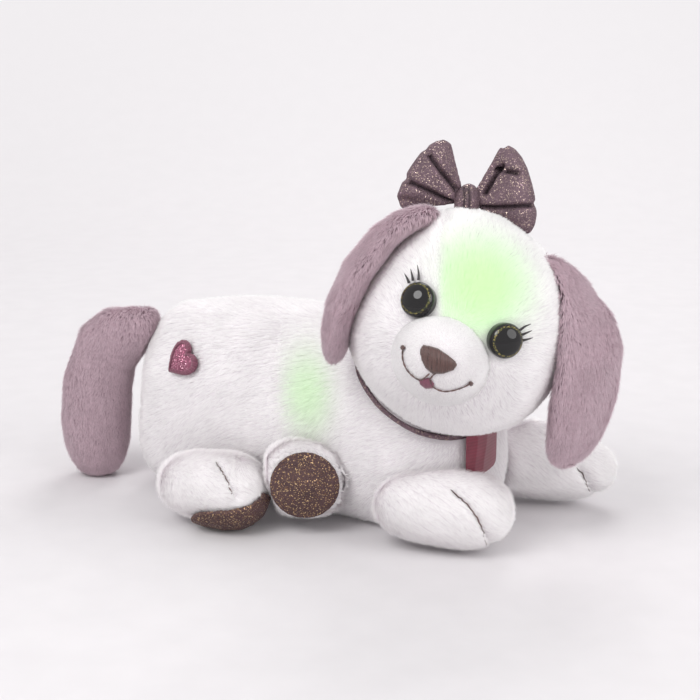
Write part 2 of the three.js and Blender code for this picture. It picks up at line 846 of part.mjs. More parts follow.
function eachCell(make) {
  const pieces = [];
  for (let i = 0; i < cellCount; i += 1) {
    pieces.push(make((i - (cellCount - 1) / 2) * cellPitch, i % 2 ? -1 : 1));
  }
  return pieces;
}

function doorPlate(margin, low, high) {
  const length = bayLength + 2 * margin;
  return roundedPlate(length, bayWidth + 2 * margin - 2 * doorEdge, cornerRadius / 2, low, high)
    .translate(bayCentre, 0, 0);
}

function batteryTray() {
  const shell = joined([
    roundedPlate(trayLength, trayWidth, cornerRadius / 2, traySunk, trayTop),
    roundedPlate(flangeLength, flangeWidth, cornerRadius, traySunk, flangeTop),
  ]);
  const grooves = eachCell((y) => {
    const groove = pin(cellDiameter + 2 * cellPlay, -bayLength / 2, bayLength / 2, 20).rotateY(rad(90));
    return groove.translate(bayCentre, y, cellHeight);
  });
  const bay = block(bayLength, bayWidth, -overrun, cellHeight).translate(bayCentre, 0, 0);
  const ends = [-1, 1].map((end) => block(contactRoom, bayWidth, -overrun, cellHeight + contactHeight / 2)
    .translate(bayCentre + (end * (bayLength - contactRoom)) / 2, 0, 0));
  const rebate = doorPlate(doorEdge + gap, -overrun, doorFloor + gap);
  const slot = block(knobWidth + 2 * gap, knobLength + knobTravel + 2 * gap, -overrun, flangeTop + gap);
  const well = block(trayEnd - 2 * trayWall, trayWidth / 2, flangeTop, boardFloor - trayWall);
  const boardWell = block(trayLength - 2 * trayWall, trayWidth - 2 * trayWall, boardFloor, trayTop + overrun);
  const wellVent = pin(wireDiameter + 2 * wirePlay, flangeTop, trayTop);
  return carved(shell, [
    ...grooves, ...ends, bay, rebate, boardWell,
    slot.translate(switchPlace, 0, 0),
    well.translate(switchPlace, 0, 0),
    wellVent.translate(switchPlace, trayWidth / 4 - wireDiameter, 0),
  ]);
}

function batteryCells() {
  return eachCell((y, way) => {
    const nub = nubDiameter / 2;
    const half = cellLength / 2;
    const cell = turned([
      [0, -half], [cellDiameter / 2, -half], [cellDiameter / 2, half],
      [nub, half], [nub, half + nubLength], [0, half + nubLength],
    ], 20);
    return cell.rotateY(rad(way * 90)).translate(bayCentre - (way * nubLength) / 2, y, cellHeight);
  });
}

// A strip across one end of the bays, with a leaf bowed towards each cell
function batteryContacts(end) {
  const reach = contactRoom - contactThick - 2 * gap;
  const rise = contactHeight / 2 - gap;
  const leaf = new THREE.Shape();
  leaf.moveTo(0, -rise);
  leaf.lineTo(contactThick, -rise);
  leaf.quadraticCurveTo(2 * reach, 0, contactThick, rise);
  leaf.lineTo(0, rise);
  leaf.quadraticCurveTo(2 * (reach - contactThick), 0, 0, -rise);
  const strip = block(contactThick, bayWidth - 2 * gap, -rise, -rise / 2).translate(contactThick / 2, 0, 0);
  const leaves = eachCell((y) => upright(leaf, -contactHeight / 4, contactHeight / 4, 8)
    .rotateX(rad(90)).translate(0, y, 0));
  const contacts = joined([strip, ...leaves]);
  if (end > 0) contacts.rotateZ(rad(180));
  return contacts.translate(bayCentre + end * (bayLength / 2 - gap), 0, cellHeight);
}

function batteryDoor() {
  const plate = doorPlate(doorEdge, traySunk, doorFloor);
  const grips = [-1, 0, 1].map((row) => block(contactThick * 2, bayWidth / 3, traySunk - gap, traySunk + gap)
    .translate(bayCentre - bayLength / 3 + row * cornerRadius, 0, 0));
  const hole = pin(screwShank + 2 * gap, -overrun, trayTop);
  const sink = pin(screwHead + 2 * gap, -overrun, traySunk + doorThick / 2);
  return carved(plate, [...grips, hole.translate(screwPlace, 0, 0), sink.translate(screwPlace, 0, 0)]);
}

function doorScrew() {
  const head = traySunk + doorThick / 2 - gap;
  const profile = [
    [0, traySunk], [screwHead / 2, traySunk], [screwHead / 2, head], [screwShank / 2, head],
    [screwShank / 2, doorFloor], [0, doorFloor],
  ];
  const slot = block(screwHead / 4, screwHead / 5, -overrun, traySunk + doorThick / 4);
  const cross = block(screwHead / 5, screwHead / 4, -overrun, traySunk + doorThick / 4);
  return carved(turned(profile), [slot, cross]).translate(screwPlace, 0, 0);
}

function switchKnob() {
  const wide = block(knobWidth, knobLength, gap, flangeTop);
  const slim = knobLength - knobStep;
  const foot = block(knobWidth + knobSlot, slim, flangeTop + gap, flangeTop + gap + knobFoot);
  const stem = block(knobWidth, slim, traySunk, flangeTop + gap + knobFoot / 2);
  return joined([wide, foot, stem]).translate(switchPlace, -knobTravel / 2, 0);
}

function circuitBoard() {
  const length = trayLength - 2 * trayWall - 2 * boardEdge;
  const width = trayWidth - 2 * trayWall - 2 * boardEdge;
  const low = boardFloor + gap;
  const plate = block(length, width, low, low + boardThick);
  const chip = block(length / 5, width / 3, low + boardThick / 2, low + boardThick * 2);
  const can = pin(width / 5, low + boardThick / 2, low + boardThick * 2.2);
  return joined([plate, chip.translate(length / 6, 0, 0), can.translate(-length / 5, width / 5, 0)]);
}

// Lamps: a light board with one light under a frosted cup
function lampPieces() {
  const radius = lampDiameter / 2;
  const led = ledDiameter / 2;
  const boardTop = lampWall;
  const board = turned([
    [0, 0], [radius, 0], [radius, boardTop], [led, boardTop], [led, boardTop + led],
    [led * 0.7, boardTop + led * 1.7], [0, boardTop + led * 2],
  ], 20);
  const inner = radius - lampWall;
  const cup = turned([
    [0, lampLength - lampWall], [inner * 0.7, lampLength - lampWall * 1.6], [inner, lampLength * 0.6],
    [inner, boardTop + gap], [radius, boardTop + gap], [radius, lampLength * 0.6],
    [radius * 0.72, lampLength - lampWall * 0.5], [0, lampLength],
  ], 20);
  return { board, cup };
}

function lampRoom() {
  return pin(lampDiameter + 2 * gap, -gap, lampLength + gap, 20);
}

const flankFrame = (() => {
  const frame = torsoFrame(flankAlongShare, rad(flankRound));
  return frame.multiply(new THREE.Matrix4().makeTranslation(0, 0, -lampDepth - lampLength));
})();
const browFrame = (() => {
  const out = at(0, -Math.sqrt(headRadius ** 2 - browRise ** 2), browRise).normalize();
  return frameAt(out.clone().multiplyScalar(headRadius - lampDepth - lampLength), out, zAxis);
})();

// Wires: each runs in its own tunnel, a little wider than the wire
const neckSeat = headCentre.clone().addScaledVector(neckAxis, -headRadius - neckGap);
const flankBack = at(0, 0, -gap - wireDiameter / 4).applyMatrix4(flankFrame);
const switchBack = at(0, 0, switchTop - switchHeight - heartTravel - gap - wireDiameter / 4)
  .applyMatrix4(heartFrame);
const boardAbove = boardFloor + gap + boardThick * 2.2 + gap;

// The centres of a wire that leaves one place and arrives at another, each along its own way
function wireRoute(from, leave, seat, arrive) {
  const reach = from.distanceTo(seat) / 3;
  const curve = new THREE.CubicBezierCurve3(
    from, from.clone().addScaledVector(leave, reach), seat.clone().addScaledVector(arrive, -reach), seat,
  );
  return curve.getSpacedPoints(wireSteps);
}

function outOf(frame) {
  return zAxis.clone().transformDirection(frame);
}

const neckRoute = wireRoute(at(trayLength / 3, 0, boardAbove), zAxis,
  neckSeat.clone().addScaledVector(neckAxis, -gap), neckAxis);
const flankRoute = wireRoute(at(0, -trayWidth / 6, boardAbove), zAxis, flankBack, outOf(flankFrame));
const switchRoute = wireRoute(at(-trayLength / 4, 0, boardAbove), zAxis, switchBack, outOf(heartFrame));
const browRoute = wireRoute(neckInHead.clone().multiplyScalar(-headRadius + gap + wireDiameter / 2), neckInHead,
  at(0, 0, -gap - wireDiameter / 4).applyMatrix4(browFrame), outOf(browFrame));

// A tunnel goes a little further than its wire at both ends.
function tunnel(route) {
  const last = route.length - 1;
  const before = route[0].clone().addScaledVector(route[1].clone().sub(route[0]).normalize(), -overrun);
  const after = route[last].clone().sub(route[last - 1]).setLength(wireDiameter).add(route[last]);
  return tube([before, ...route, after], wireDiameter + 2 * wirePlay);
}

function torso() {
  const floor = block(2 * torsoLength, 2 * torsoLength, -torsoLength, 0);
  const pocket = roundedPlate(trayLength + 2 * gap, trayWidth + 2 * gap, cornerRadius / 2, -overrun, trayTop + 2 * wireDiameter);
  const lip = roundedPlate(flangeLength + 2 * gap, flangeWidth + 2 * gap, cornerRadius, -overrun, flangeTop + gap);
  return carved(torsoSkin(0), [
    floor, pocket, lip,
    ball(headRadius + neckGap, headCentre),
    collarBand(gap),
    heartPocket(),
    switchRoom(),
    placed(lampRoom(), flankFrame),
    tunnel(neckRoute),
    tunnel(flankRoute),
    tunnel(switchRoute),
  ]);
}

function head() {
  return carved(headSkin(), [
    ...eyeTools(-1), ...eyeTools(1),
    placed(lampRoom(), browFrame),
    tunnel(browRoute),
  ]);
}

// Colours
const cream = { color: 0xf1ebf2, roughness: 0.95, metalness: 0 };
const velvet = { color: 0xf5f0f5, roughness: 0.85, metalness: 0 };
const taupe = { color: 0x8d6f7c, roughness: 0.95, metalness: 0 };
const glitter = { color: 0x94707c, roughness: 0.5, metalness: 0.3 };
const brownGlitter = { color: 0x6d5148, roughness: 0.5, metalness: 0.3 };
const noseBrown = { color: 0x4a332f, roughness: 0.8, metalness: 0 };
const tonguePink = { color: 0x9b5a66, roughness: 0.8, metalness: 0 };
const eyeBlack = { color: 0x0c0b0d, roughness: 0.12, metalness: 0 };
const tagRed = { color: 0x8c2f3d, roughness: 0.7, metalness: 0 };
const heartPink = { color: 0xb46a86, roughness: 0.5, metalness: 0.3 };
const whitePlastic = { color: 0xe9e7e4, roughness: 0.45, metalness: 0 };
const frosted = { color: 0xf4fff0, roughness: 0.4, metalness: 0 };
const boardGreen = { color: 0x2e6b45, roughness: 0.5, metalness: 0 };
const steel = { color: 0xb8babd, roughness: 0.35, metalness: 1 };
const cellGrey = { color: 0x77797d, roughness: 0.4, metalness: 0.4 };
const wireRed = { color: 0xa3262a, roughness: 0.5, metalness: 0 };
const switchBlack = { color: 0x1b1b1d, roughness: 0.5, metalness: 0 };

function named(name, geometry, finish) {
  const mesh = new THREE.Mesh(geometry, new THREE.MeshStandardMaterial(finish));
  mesh.geometry.computeVertexNormals();
  mesh.name = name;
  return mesh;
}

function headGroup() {
  const group = new THREE.Group();
  group.applyMatrix4(headMatrix);
  const muzzleCuts = [headSkin(gap), ...eyeTools(-1), ...eyeTools(1)];
  const bowCuts = [headSkin(gap)];
  const lamp = lampPieces();
  const noseCut = placed(upright(noseOutline(noseWidth, noseHeight), 0, muzzleLength, 5), faceFrame);
  const tongueCut = placed(upright(tongueOutline(), 0, muzzleLength, 4).translate(0, -tongueDrop, 0), faceFrame);
  group.add(
    named('head', head(), cream),
    named('muzzle', carved(muzzleSkin(), muzzleCuts), velvet),
    named('nose', patch(muzzleSkin(noseThick), muzzleSkin(gap), noseCut), noseBrown),
    named('tongue', patch(muzzleSkin(tongueThick), muzzleSkin(gap), tongueCut), tonguePink),
    named('right_ear', ear(rightEar), taupe),
    named('left_ear', ear(leftEar), taupe),
    named('bow_knot', carved(placed(knotSkin(), bowMatrix), bowCuts), glitter),
    named('bow_right_loop', carved(loop(-1, rightLoopLength, rightLoopHeight), [...bowCuts, ...earRoom(rightEar)]), glitter),
    named('bow_left_loop', carved(loop(1, leftLoopLength, leftLoopHeight), bowCuts), glitter),
    named('forehead_lamp_board', placed(lamp.board, browFrame), boardGreen),
    named('forehead_lamp_diffuser', placed(lamp.cup, browFrame), frosted),
    named('forehead_lamp_wire', tube(browRoute, wireDiameter), wireRed),
  );
  for (const [name, side] of [['right', -1], ['left', 1]]) {
    const frame = eyeFrame(side);
    group.add(
      named(`${name}_eye`, placed(turned(eyeProfile(0), 20), frame), eyeBlack),
      named(`${name}_eye_washer`, placed(turned(washerProfile(0)), frame), whitePlastic),
    );
  }
  return group;
}

function bodyGroup() {
  const group = new THREE.Group();
  const lamp = lampPieces();
  group.add(
    named('torso', torso(), cream),
    named('collar', collarBand(0), glitter),
    named('collar_tag', tag(), tagRed),
    named('tail', tail(), taupe),
    named('right_front_leg', sideLeg(rightFront, tagRooms()), cream),
    named('left_front_leg', sideLeg(leftFront), cream),
    named('right_hind_leg', sideLeg(rightHind), cream),
    named('left_hind_leg', shownLeg(), cream),
    named('right_hind_sole', heelSole(), brownGlitter),
    named('left_hind_sole', shownSole(), brownGlitter),
    named('heart_patch', heartPatch(), heartPink),
    named('heart_switch_plunger', plunger(), switchBlack),
    named('heart_switch_housing', switchHousing(), switchBlack),
    named('heart_switch_wire', tube(switchRoute, wireDiameter), wireRed),
    named('flank_lamp_board', placed(lamp.board, flankFrame), boardGreen),
    named('flank_lamp_diffuser', placed(lamp.cup, flankFrame), frosted),
    named('flank_lamp_wire', tube(flankRoute, wireDiameter), wireRed),
    named('neck_wire', tube(neckRoute, wireDiameter), wireRed),
    named('battery_tray', batteryTray(), whitePlastic),
    named('battery_door', batteryDoor(), whitePlastic),
    named('battery_door_screw', doorScrew(), steel),
    ...batteryCells().map((cell, i) => named(`battery_cell_${i + 1}`, cell, cellGrey)),
    named('battery_contacts_rear', batteryContacts(-1), steel),
    named('battery_contacts_front', batteryContacts(1), steel),
    named('circuit_board', circuitBoard(), boardGreen),
    named('power_switch_knob', switchKnob(), switchBlack),
    headGroup(),
  );
  return group;
}

// The finished toy, its origin under the middle of its box
function puppy() {
  const toy = new THREE.Group();
  const body = bodyGroup();
  body.rotation.z = rad(bodyTurn);
  toy.add(body);
  toy.updateMatrixWorld(true);
  const box = new THREE.Box3().setFromObject(toy, true);
  const middle = box.getCenter(at(0, 0, 0));
  toy.position.set(-middle.x, -middle.y, -box.min.z);
  toy.updateMatrixWorld(true);
  return toy;
}

export default puppy();
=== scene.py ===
import bmesh
import bpy
import numpy
from math import cos, pi, radians, sin
from mathutils import Matrix, Vector
from mathutils.bvhtree import BVHTree


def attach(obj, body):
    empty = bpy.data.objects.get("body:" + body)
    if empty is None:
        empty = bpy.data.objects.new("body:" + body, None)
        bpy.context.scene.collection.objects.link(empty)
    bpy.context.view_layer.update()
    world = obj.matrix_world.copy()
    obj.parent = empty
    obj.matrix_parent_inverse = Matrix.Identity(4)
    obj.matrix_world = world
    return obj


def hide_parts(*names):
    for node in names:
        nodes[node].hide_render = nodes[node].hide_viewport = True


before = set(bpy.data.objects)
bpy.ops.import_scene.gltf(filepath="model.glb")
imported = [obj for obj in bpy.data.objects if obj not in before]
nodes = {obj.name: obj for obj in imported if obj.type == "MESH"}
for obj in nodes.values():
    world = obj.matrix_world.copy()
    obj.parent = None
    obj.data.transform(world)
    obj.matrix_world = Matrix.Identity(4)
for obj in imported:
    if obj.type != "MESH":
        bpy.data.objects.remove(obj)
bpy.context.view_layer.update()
print("frame loaded:", len(nodes), "nodes")

# The photograph's view. Pixels are those of the 700 by 700 photograph.
photoView = {
    "place": (0.01187, -0.7553, 0.2883),
    "down": 14,
    "lens": 70.35,
    "sensor": 36,
    "pixels": 700,
}


def toLinear(hexColour):
    parts = [int(hexColour[i : i + 2], 16) / 255 for i in (1, 3, 5)]
    return tuple(c / 12.92 if c <= 0.04045 else ((c + 0.055) / 1.055) ** 2.4 for c in parts) + (1.0,)


def addObject(name, data):
    piece = bpy.data.objects.new(name, data)
    bpy.context.scene.collection.objects.link(piece)
    return piece


def makeCamera():
    lens = bpy.data.cameras.new("photo_camera")
    lens.sensor_width = photoView["sensor"]
    lens.lens = photoView["lens"]
    lens.clip_start = 0.01
    camera = addObject("photo_camera", lens)
    camera.location = photoView["place"]
    camera.rotation_euler = (radians(90 - photoView["down"]), 0, 0)
    bpy.context.scene.camera = camera
    bpy.context.view_layer.update()
    return camera


camera = makeCamera()
cameraPlace = camera.matrix_world.translation.copy()
cameraTurn = camera.matrix_world.to_3x3()
pictureMiddle = photoView["pixels"] / 2
lensPixels = photoView["lens"] / photoView["sensor"] * photoView["pixels"]
pixelMm = 0.555  # what one pixel of the photograph spans on the toy
toyAway = 0.75  # metres from the camera to the toy


def pixelRay(x, y):
    way = Vector(((x - pictureMiddle) / lensPixels, (pictureMiddle - y) / lensPixels, -1)).normalized()
    return cameraPlace, cameraTurn @ way


def pixelOf(places):
    seen = (places - numpy.array(cameraPlace)) @ numpy.array(cameraTurn)
    across, up = (lensPixels * seen[:, k] / seen[:, 2] for k in (0, 1))
    return numpy.stack((pictureMiddle - across, pictureMiddle + up), 1)


# The two frames that the toy is laid out in: the turned body and the tilted head
bodyFrame = Matrix.Translation((-0.00673, 0.0335, 0)) @ Matrix.Rotation(radians(-28), 4, "Z")
headFrame = (
    Matrix.Translation((0.0711, -0.03846, 0.124))
    @ Matrix.Rotation(radians(-5), 4, "Z")
    @ Matrix.Rotation(radians(-13), 4, "X")
    @ Matrix.Rotation(radians(27), 4, "Y")
)


def dress(piece, look, *replaced):
    # A look is the body that carries the piece, its material slot and its finish.
    body, slotName, material = look
    piece.data.materials.clear()
    piece.data.materials.append(material)
    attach(piece, body)
    if replaced:
        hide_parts(*replaced)
    return piece


def pad(piece, look, nodeName):
    dress(piece, look, nodeName)


def newPiece(name, mesh, look, *replaced):
    return dress(addObject(name, mesh), look, *replaced)


def plug(node, **values):
    # A name in capitals is a socket, one after an underscore the number of a socket, and the others are the node's own
    # settings. What comes out of another node is linked.
    for key, value in values.items():
        if key[0].islower():
            setattr(node, key, value)
            continue
        socket = node.inputs[int(key[1:])] if key[0] == "_" else node.inputs[key.replace("_", " ")]
        if isinstance(value, bpy.types.NodeSocket):
            node.id_data.links.new(value, socket)
        else:
            socket.default_value = value


def addNode(tree, kind, out=0, **values):
    node = tree.nodes.new(kind)
    plug(node, **values)
    return node.outputs if out is None else node.outputs[out]


def nodeOf(tree, kind):
    return next(n for n in tree.nodes if n.type == kind)


def startMaterial(name):
    material = bpy.data.materials.new(name)
    material.use_nodes = True
    tree = material.node_tree
    return material, tree, nodeOf(tree, "BSDF_PRINCIPLED"), addNode(tree, "ShaderNodeTexCoord", "Object")


def ramp(tree, factor, stops):
    colour = addNode(tree, "ShaderNodeValToRGB", "Color", _0=factor)
    band = colour.node.color_ramp
    while len(band.elements) < len(stops):
        band.elements.new(0.5)
    for element, (place, tone) in zip(band.elements, stops):
        element.position = place
        element.color = toLinear(tone)
    return colour


# Each finish: its colours, the size of its pattern, and for a pile the lamp's colour in it and how bright that is.
# The flecks and piles are drawn as coarse as the picture needs to show them.
piles = {
    # Long polyester pile, cut and brushed: white with a breath of lilac; its darker root is painted shade down between
    # the hairs
    "cream": {"root": "#e9e3e7", "tip": "#fbf9f9", "patchMm": 22, "glow": "#b2f094", "power": 0.34},
    # Velvet of the muzzle, sheared short: the same white, closer and smoother, with the same painted shade at the root
    "velvet": {"root": "#ebe5e8", "tip": "#fbf9f9", "patchMm": 30, "glow": "#b4ef8c", "power": 0.0},
    # Dusty taupe pile of ears and tail, rosy at the tip; its greyer, darker root is painted shade down between the
    # hairs
    "taupe": {"root": "#86707a", "tip": "#ccb5be", "patchMm": 14, "glow": "#b4ef8c", "power": 0.0},
}


def pileMaterial(name, facts):
    # Brushed fibres scatter light, so there is no gloss, only a soft sheen where the pile turns away. A hair has no
    # back: a blade seen from behind is lit through, and so is as pale as its front from every side.
    material, tree, shader, place = startMaterial(name)
    tip, shade, glow = (
        addNode(tree, "ShaderNodeAttribute", "Fac", attribute_name=layer) for layer in ("tip", "shade", "glow")
    )
    patches = addNode(tree, "ShaderNodeTexNoise", "Fac", Vector=place, Scale=1000 / facts["patchMm"], Detail=3.0,
                      Roughness=0.6)
    # Painted shade: the colour darkens towards the root, and the skin under the pile, which has no tip layer, takes the
    # root colour.
    pile = ramp(tree, tip, [(0.0, facts["root"]), (0.75, facts["tip"])])
    spread = addNode(tree, "ShaderNodeMath", operation="MULTIPLY_ADD", _0=shade, _1=0.5, _2=patches)
    light = addNode(tree, "ShaderNodeMapRange", Value=spread, From_Min=0.3, From_Max=1.2, To_Min=0.86, To_Max=1.05)
    toned = addNode(tree, "ShaderNodeHueSaturation", Color=pile, Value=light)
    lit = addNode(tree, "ShaderNodeMix", 2, data_type="RGBA", _0=glow, _6=toned, _7=toLinear(facts["glow"]))
    plug(shader, Base_Color=lit, Roughness=0.88, IOR=1.53, Specular_IOR_Level=0.25, Sheen_Weight=0.25,
         Sheen_Roughness=0.5)
    if facts["power"]:
        hot = addNode(tree, "ShaderNodeMath", operation="POWER", _0=glow, _1=2.0)  # brightest inside
        power = addNode(tree, "ShaderNodeMath", operation="MULTIPLY", _0=hot, _1=facts["power"])
        plug(shader, Emission_Strength=power, Emission_Color=toLinear("#ecffe2"))
    through = addNode(tree, "ShaderNodeBsdfTranslucent", Color=lit)
    back = addNode(tree, "ShaderNodeNewGeometry", "Backfacing")
    both = addNode(tree, "ShaderNodeMixShader", _0=back, _1=shader.outputs[0], _2=through)
    plug(nodeOf(tree, "OUTPUT_MATERIAL"), Surface=both)
    return material


# In each glitter, deep is the painted shade laid deep in its folds, and the fold size is that of patches of painted
# light and shade.
glitters = {
    # Knitted lamé of bow and collar: rose-taupe with a scatter of pale metallic flecks
    "rose": {"cloth": "#69545d", "fleck": "#dcc7b4", "dim": "#867076", "fleckMm": 0.42, "cover": 0.8, "foldShadeMm": 9,
             "deep": "#2e2129"},
    # Sole fabric: dark brown with gold flecks
    "brown": {"cloth": "#50393a", "fleck": "#e3c496", "dim": "#7d5f4c", "fleckMm": 0.5, "cover": 0.8, "foldShadeMm": 12,
              "deep": "#33221e"},
    # Heart patch: pink with silver-pink flecks
    "pink": {"cloth": "#884c62", "fleck": "#dcaebc", "dim": "#955a6f", "fleckMm": 0.45, "cover": 0.74, "foldShadeMm": 10,
             "deep": "#7a3a50"},
}


def glitterMaterial(name, facts):
    # Each fleck is a tiny mirror that lies at its own tilt, so neighbours flash and go dark by turns.
    material, tree, shader, place = startMaterial(name)
    cells = addNode(tree, "ShaderNodeTexVoronoi", "Color", Vector=place, Scale=1000 / facts["fleckMm"])
    parts = addNode(tree, "ShaderNodeSeparateColor", None, Color=cells)
    fleck = addNode(tree, "ShaderNodeMapRange", Value=parts[0], From_Min=facts["cover"], From_Max=facts["cover"] + 0.05)
    # Painted light and shade of small folds: the cloth colour is lighter and darker in patches the size of a fold.
    folds = addNode(tree, "ShaderNodeTexNoise", "Fac", Vector=place, Scale=1000 / facts["foldShadeMm"], Detail=4.0)
    cloth = addNode(tree, "ShaderNodeMapRange", Value=folds, From_Min=0.3, From_Max=0.7, To_Min=0.75, To_Max=1.15)
    toned = addNode(tree, "ShaderNodeHueSaturation", Color=toLinear(facts["cloth"]), Value=cloth)
    shine = ramp(tree, parts[1], [(0.35, facts["dim"]), (0.95, facts["fleck"])])
    colour = addNode(tree, "ShaderNodeMix", 2, data_type="RGBA", _0=fleck, _6=toned, _7=shine)
    # Painted shade in the folds: the colour is mixed towards the deep tone along each crease.
    foldShade = addNode(tree, "ShaderNodeAttribute", "Fac", attribute_name="foldShade")
    shaded = addNode(tree, "ShaderNodeMix", 2, data_type="RGBA", _0=foldShade, _6=colour, _7=toLinear(facts["deep"]))
    metal = addNode(tree, "ShaderNodeMath", operation="MULTIPLY", _0=fleck, _1=0.85)
    rough = addNode(tree, "ShaderNodeMapRange", Value=fleck, To_Min=0.8, To_Max=0.25)
    off = addNode(tree, "ShaderNodeVectorMath", operation="SUBTRACT", _0=cells, _1=(0.5, 0.5, 0.5))
    tilt = addNode(tree, "ShaderNodeVectorMath", operation="SCALE", _0=off, Scale=0.7)
    normal = addNode(tree, "ShaderNodeNewGeometry", "Normal")
    turned = addNode(tree, "ShaderNodeVectorMath", operation="ADD", _0=normal, _1=tilt)
    facing = addNode(tree, "ShaderNodeVectorMath", operation="NORMALIZE", _0=turned)
    plug(shader, Base_Color=shaded, Metallic=metal, Roughness=rough, Normal=facing, IOR=1.5)
    return material


# Each thread's deep and high tones are painted sheen: each stitch is lighter or darker, as if the light caught it.
threads = {
    # Rayon embroidery thread laid in satin stitch: silky along the strand
    "brown": {"deep": "#2f1c1a", "high": "#634540", "rough": 0.38},
    "black": {"deep": "#141012", "high": "#2c2427", "rough": 0.42},
    "rose": {"deep": "#5e2d3f", "high": "#86495f", "rough": 0.45},
}


def threadMaterial(name, facts):
    # Each stitch gets a painted sheen of its own, and the twisted filaments a fine ripple along it, in bump and in
    # painted sheen.
    material, tree, shader, place = startMaterial(name)
    shade = addNode(tree, "ShaderNodeAttribute", "Fac", attribute_name="shade")
    twist = addNode(tree, "ShaderNodeTexNoise", "Fac", Vector=place, Scale=2200.0, Detail=2.0)
    both = addNode(tree, "ShaderNodeMath", operation="MULTIPLY_ADD", _0=twist, _1=0.5, _2=shade)
    colour = ramp(tree, both, [(0.3, facts["deep"]), (1.2, facts["high"])])
    bump = addNode(tree, "ShaderNodeBump", Strength=0.5, Distance=0.0002, Height=twist)
    plug(shader, Base_Color=colour, Normal=bump, Roughness=facts["rough"], IOR=1.53, Sheen_Weight=0.3)
    return material


def eyeMaterial():
    # Moulded acrylic with a painted back: black pupil, a ring of green-gold flecks, a black rim, all under gloss
    facts = {"pupil": "#0b090b", "dark": "#1b1a12", "ring": "#39421f", "gold": "#9a8a4e", "fleckMm": 0.45}
    material, tree, shader, place = startMaterial("moulded_acrylic_eye")
    reach = addNode(tree, "ShaderNodeAttribute", "Fac", attribute_name="reach")
    cells = addNode(tree, "ShaderNodeTexVoronoi", "Color", Vector=place, Scale=1000 / facts["fleckMm"])
    fleck = addNode(tree, "ShaderNodeSeparateColor", Color=cells)
    spark = ramp(tree, fleck, [(0.2, facts["dark"]), (0.6, facts["ring"]), (0.95, facts["gold"])])
    ring = ramp(tree, reach, [(0.76, "#000000"), (0.81, "#ffffff"), (0.86, "#ffffff"), (0.9, "#000000")])
    colour = addNode(tree, "ShaderNodeMix", 2, data_type="RGBA", _0=ring, _6=toLinear(facts["pupil"]), _7=spark)
    plug(shader, Base_Color=colour, Roughness=0.05, IOR=1.49)
    return material


def ribbonMaterial():
    # Woven satin ribbon: fine cross ribs catch the light in bands, through their bumps and through painted highlights
    # along them
    facts = {"deep": "#6d1a2f", "high": "#8e2a43", "ribMm": 0.9}
    fullRibMm = 157.0  # how wide a rib of the wave texture is at scale 1
    material, tree, shader, place = startMaterial("woven_satin_ribbon")
    ribs = addNode(tree, "ShaderNodeTexWave", "Fac", bands_direction="Z", Vector=place, Distortion=0.4, Detail=1.0,
                   Scale=fullRibMm / facts["ribMm"])
    clouds = addNode(tree, "ShaderNodeTexNoise", "Fac", Vector=place, Scale=90.0, Detail=3.0)
    # Painted highlight: the colour is lighter along the ribs, over cloudy patches of tone.
    both = addNode(tree, "ShaderNodeMath", operation="MULTIPLY_ADD", _0=ribs, _1=0.2, _2=clouds)
    colour = ramp(tree, both, [(0.3, facts["deep"]), (1.0, facts["high"])])
    bump = addNode(tree, "ShaderNodeBump", Strength=0.2, Distance=0.0002, Height=ribs)
    plug(shader, Base_Color=colour, Normal=bump, Roughness=0.42, IOR=1.53, Sheen_Weight=0.3)
    return material


# Moulded, plated and printed pieces that the toy works with: the material, its colour, the other tone of its
# pattern, the pattern's grain in mm, roughness, metal and how deep the grain goes
hardFinishes = {
    "white_plastic": ("moulded_abs_white", "#dcdad5", "#cfccc6", 0.9, 0.45, 0.0, 0.3),
    "frosted_plastic": ("frosted_polypropylene", "#e6f2dc", "#d3e6c6", 1.4, 0.6, 0.0, 0.4),
    "black_plastic": ("moulded_abs_black", "#1b1b1c", "#262627", 0.8, 0.4, 0.0, 0.3),
    "green_board": ("solder_masked_glass_epoxy", "#1c6b3c", "#2f8a52", 2.2, 0.35, 0.0, 0.5),
    "red_wire": ("extruded_pvc_red", "#a11d22", "#8a161b", 2.0, 0.4, 0.0, 0.2),
    "steel": ("plated_steel", "#b9bbbd", "#9fa2a5", 0.6, 0.28, 1.0, 0.3),
    "cell_jacket": ("lacquered_tinplate", "#8f9398", "#6f747a", 6.0, 0.3, 0.6, 0.1),
}


def hardMaterial(facts):
    name, colour, other, grainMm, rough, metal, depth = facts
    material, tree, shader, place = startMaterial(name)
    grain = addNode(tree, "ShaderNodeTexNoise", "Fac", Vector=place, Scale=1000 / grainMm, Detail=4.0, Roughness=0.6)
    toned = ramp(tree, grain, [(0.35, other), (0.65, colour)])
    worn = addNode(tree, "ShaderNodeMapRange", Value=grain, To_Min=rough - 0.08, To_Max=rough + 0.12)
    bump = addNode(tree, "ShaderNodeBump", Strength=depth, Distance=0.0001, Height=grain)
    plug(shader, Base_Color=toned, Roughness=worn, Normal=bump, Metallic=metal)
    if not metal:
        plug(shader, IOR=1.54)
    return material


creamPile = pileMaterial("brushed_polyester_pile_cream", piles["cream"])
velvetPile = pileMaterial("sheared_polyester_velvet", piles["velvet"])
taupePile = pileMaterial("brushed_polyester_pile_taupe", piles["taupe"])
roseGlitter = glitterMaterial("knitted_lame_rose", glitters["rose"])
brownGlitter = glitterMaterial("glitter_faux_suede_brown", glitters["brown"])
pinkGlitter = glitterMaterial("glitter_twill_pink", glitters["pink"])
brownThread = threadMaterial("rayon_thread_brown", threads["brown"])
blackThread = threadMaterial("rayon_thread_black", threads["black"])
roseThread = threadMaterial("rayon_thread_rose", threads["rose"])
eyeAcrylic = eyeMaterial()
satinRibbon = ribbonMaterial()
print("finishes made")


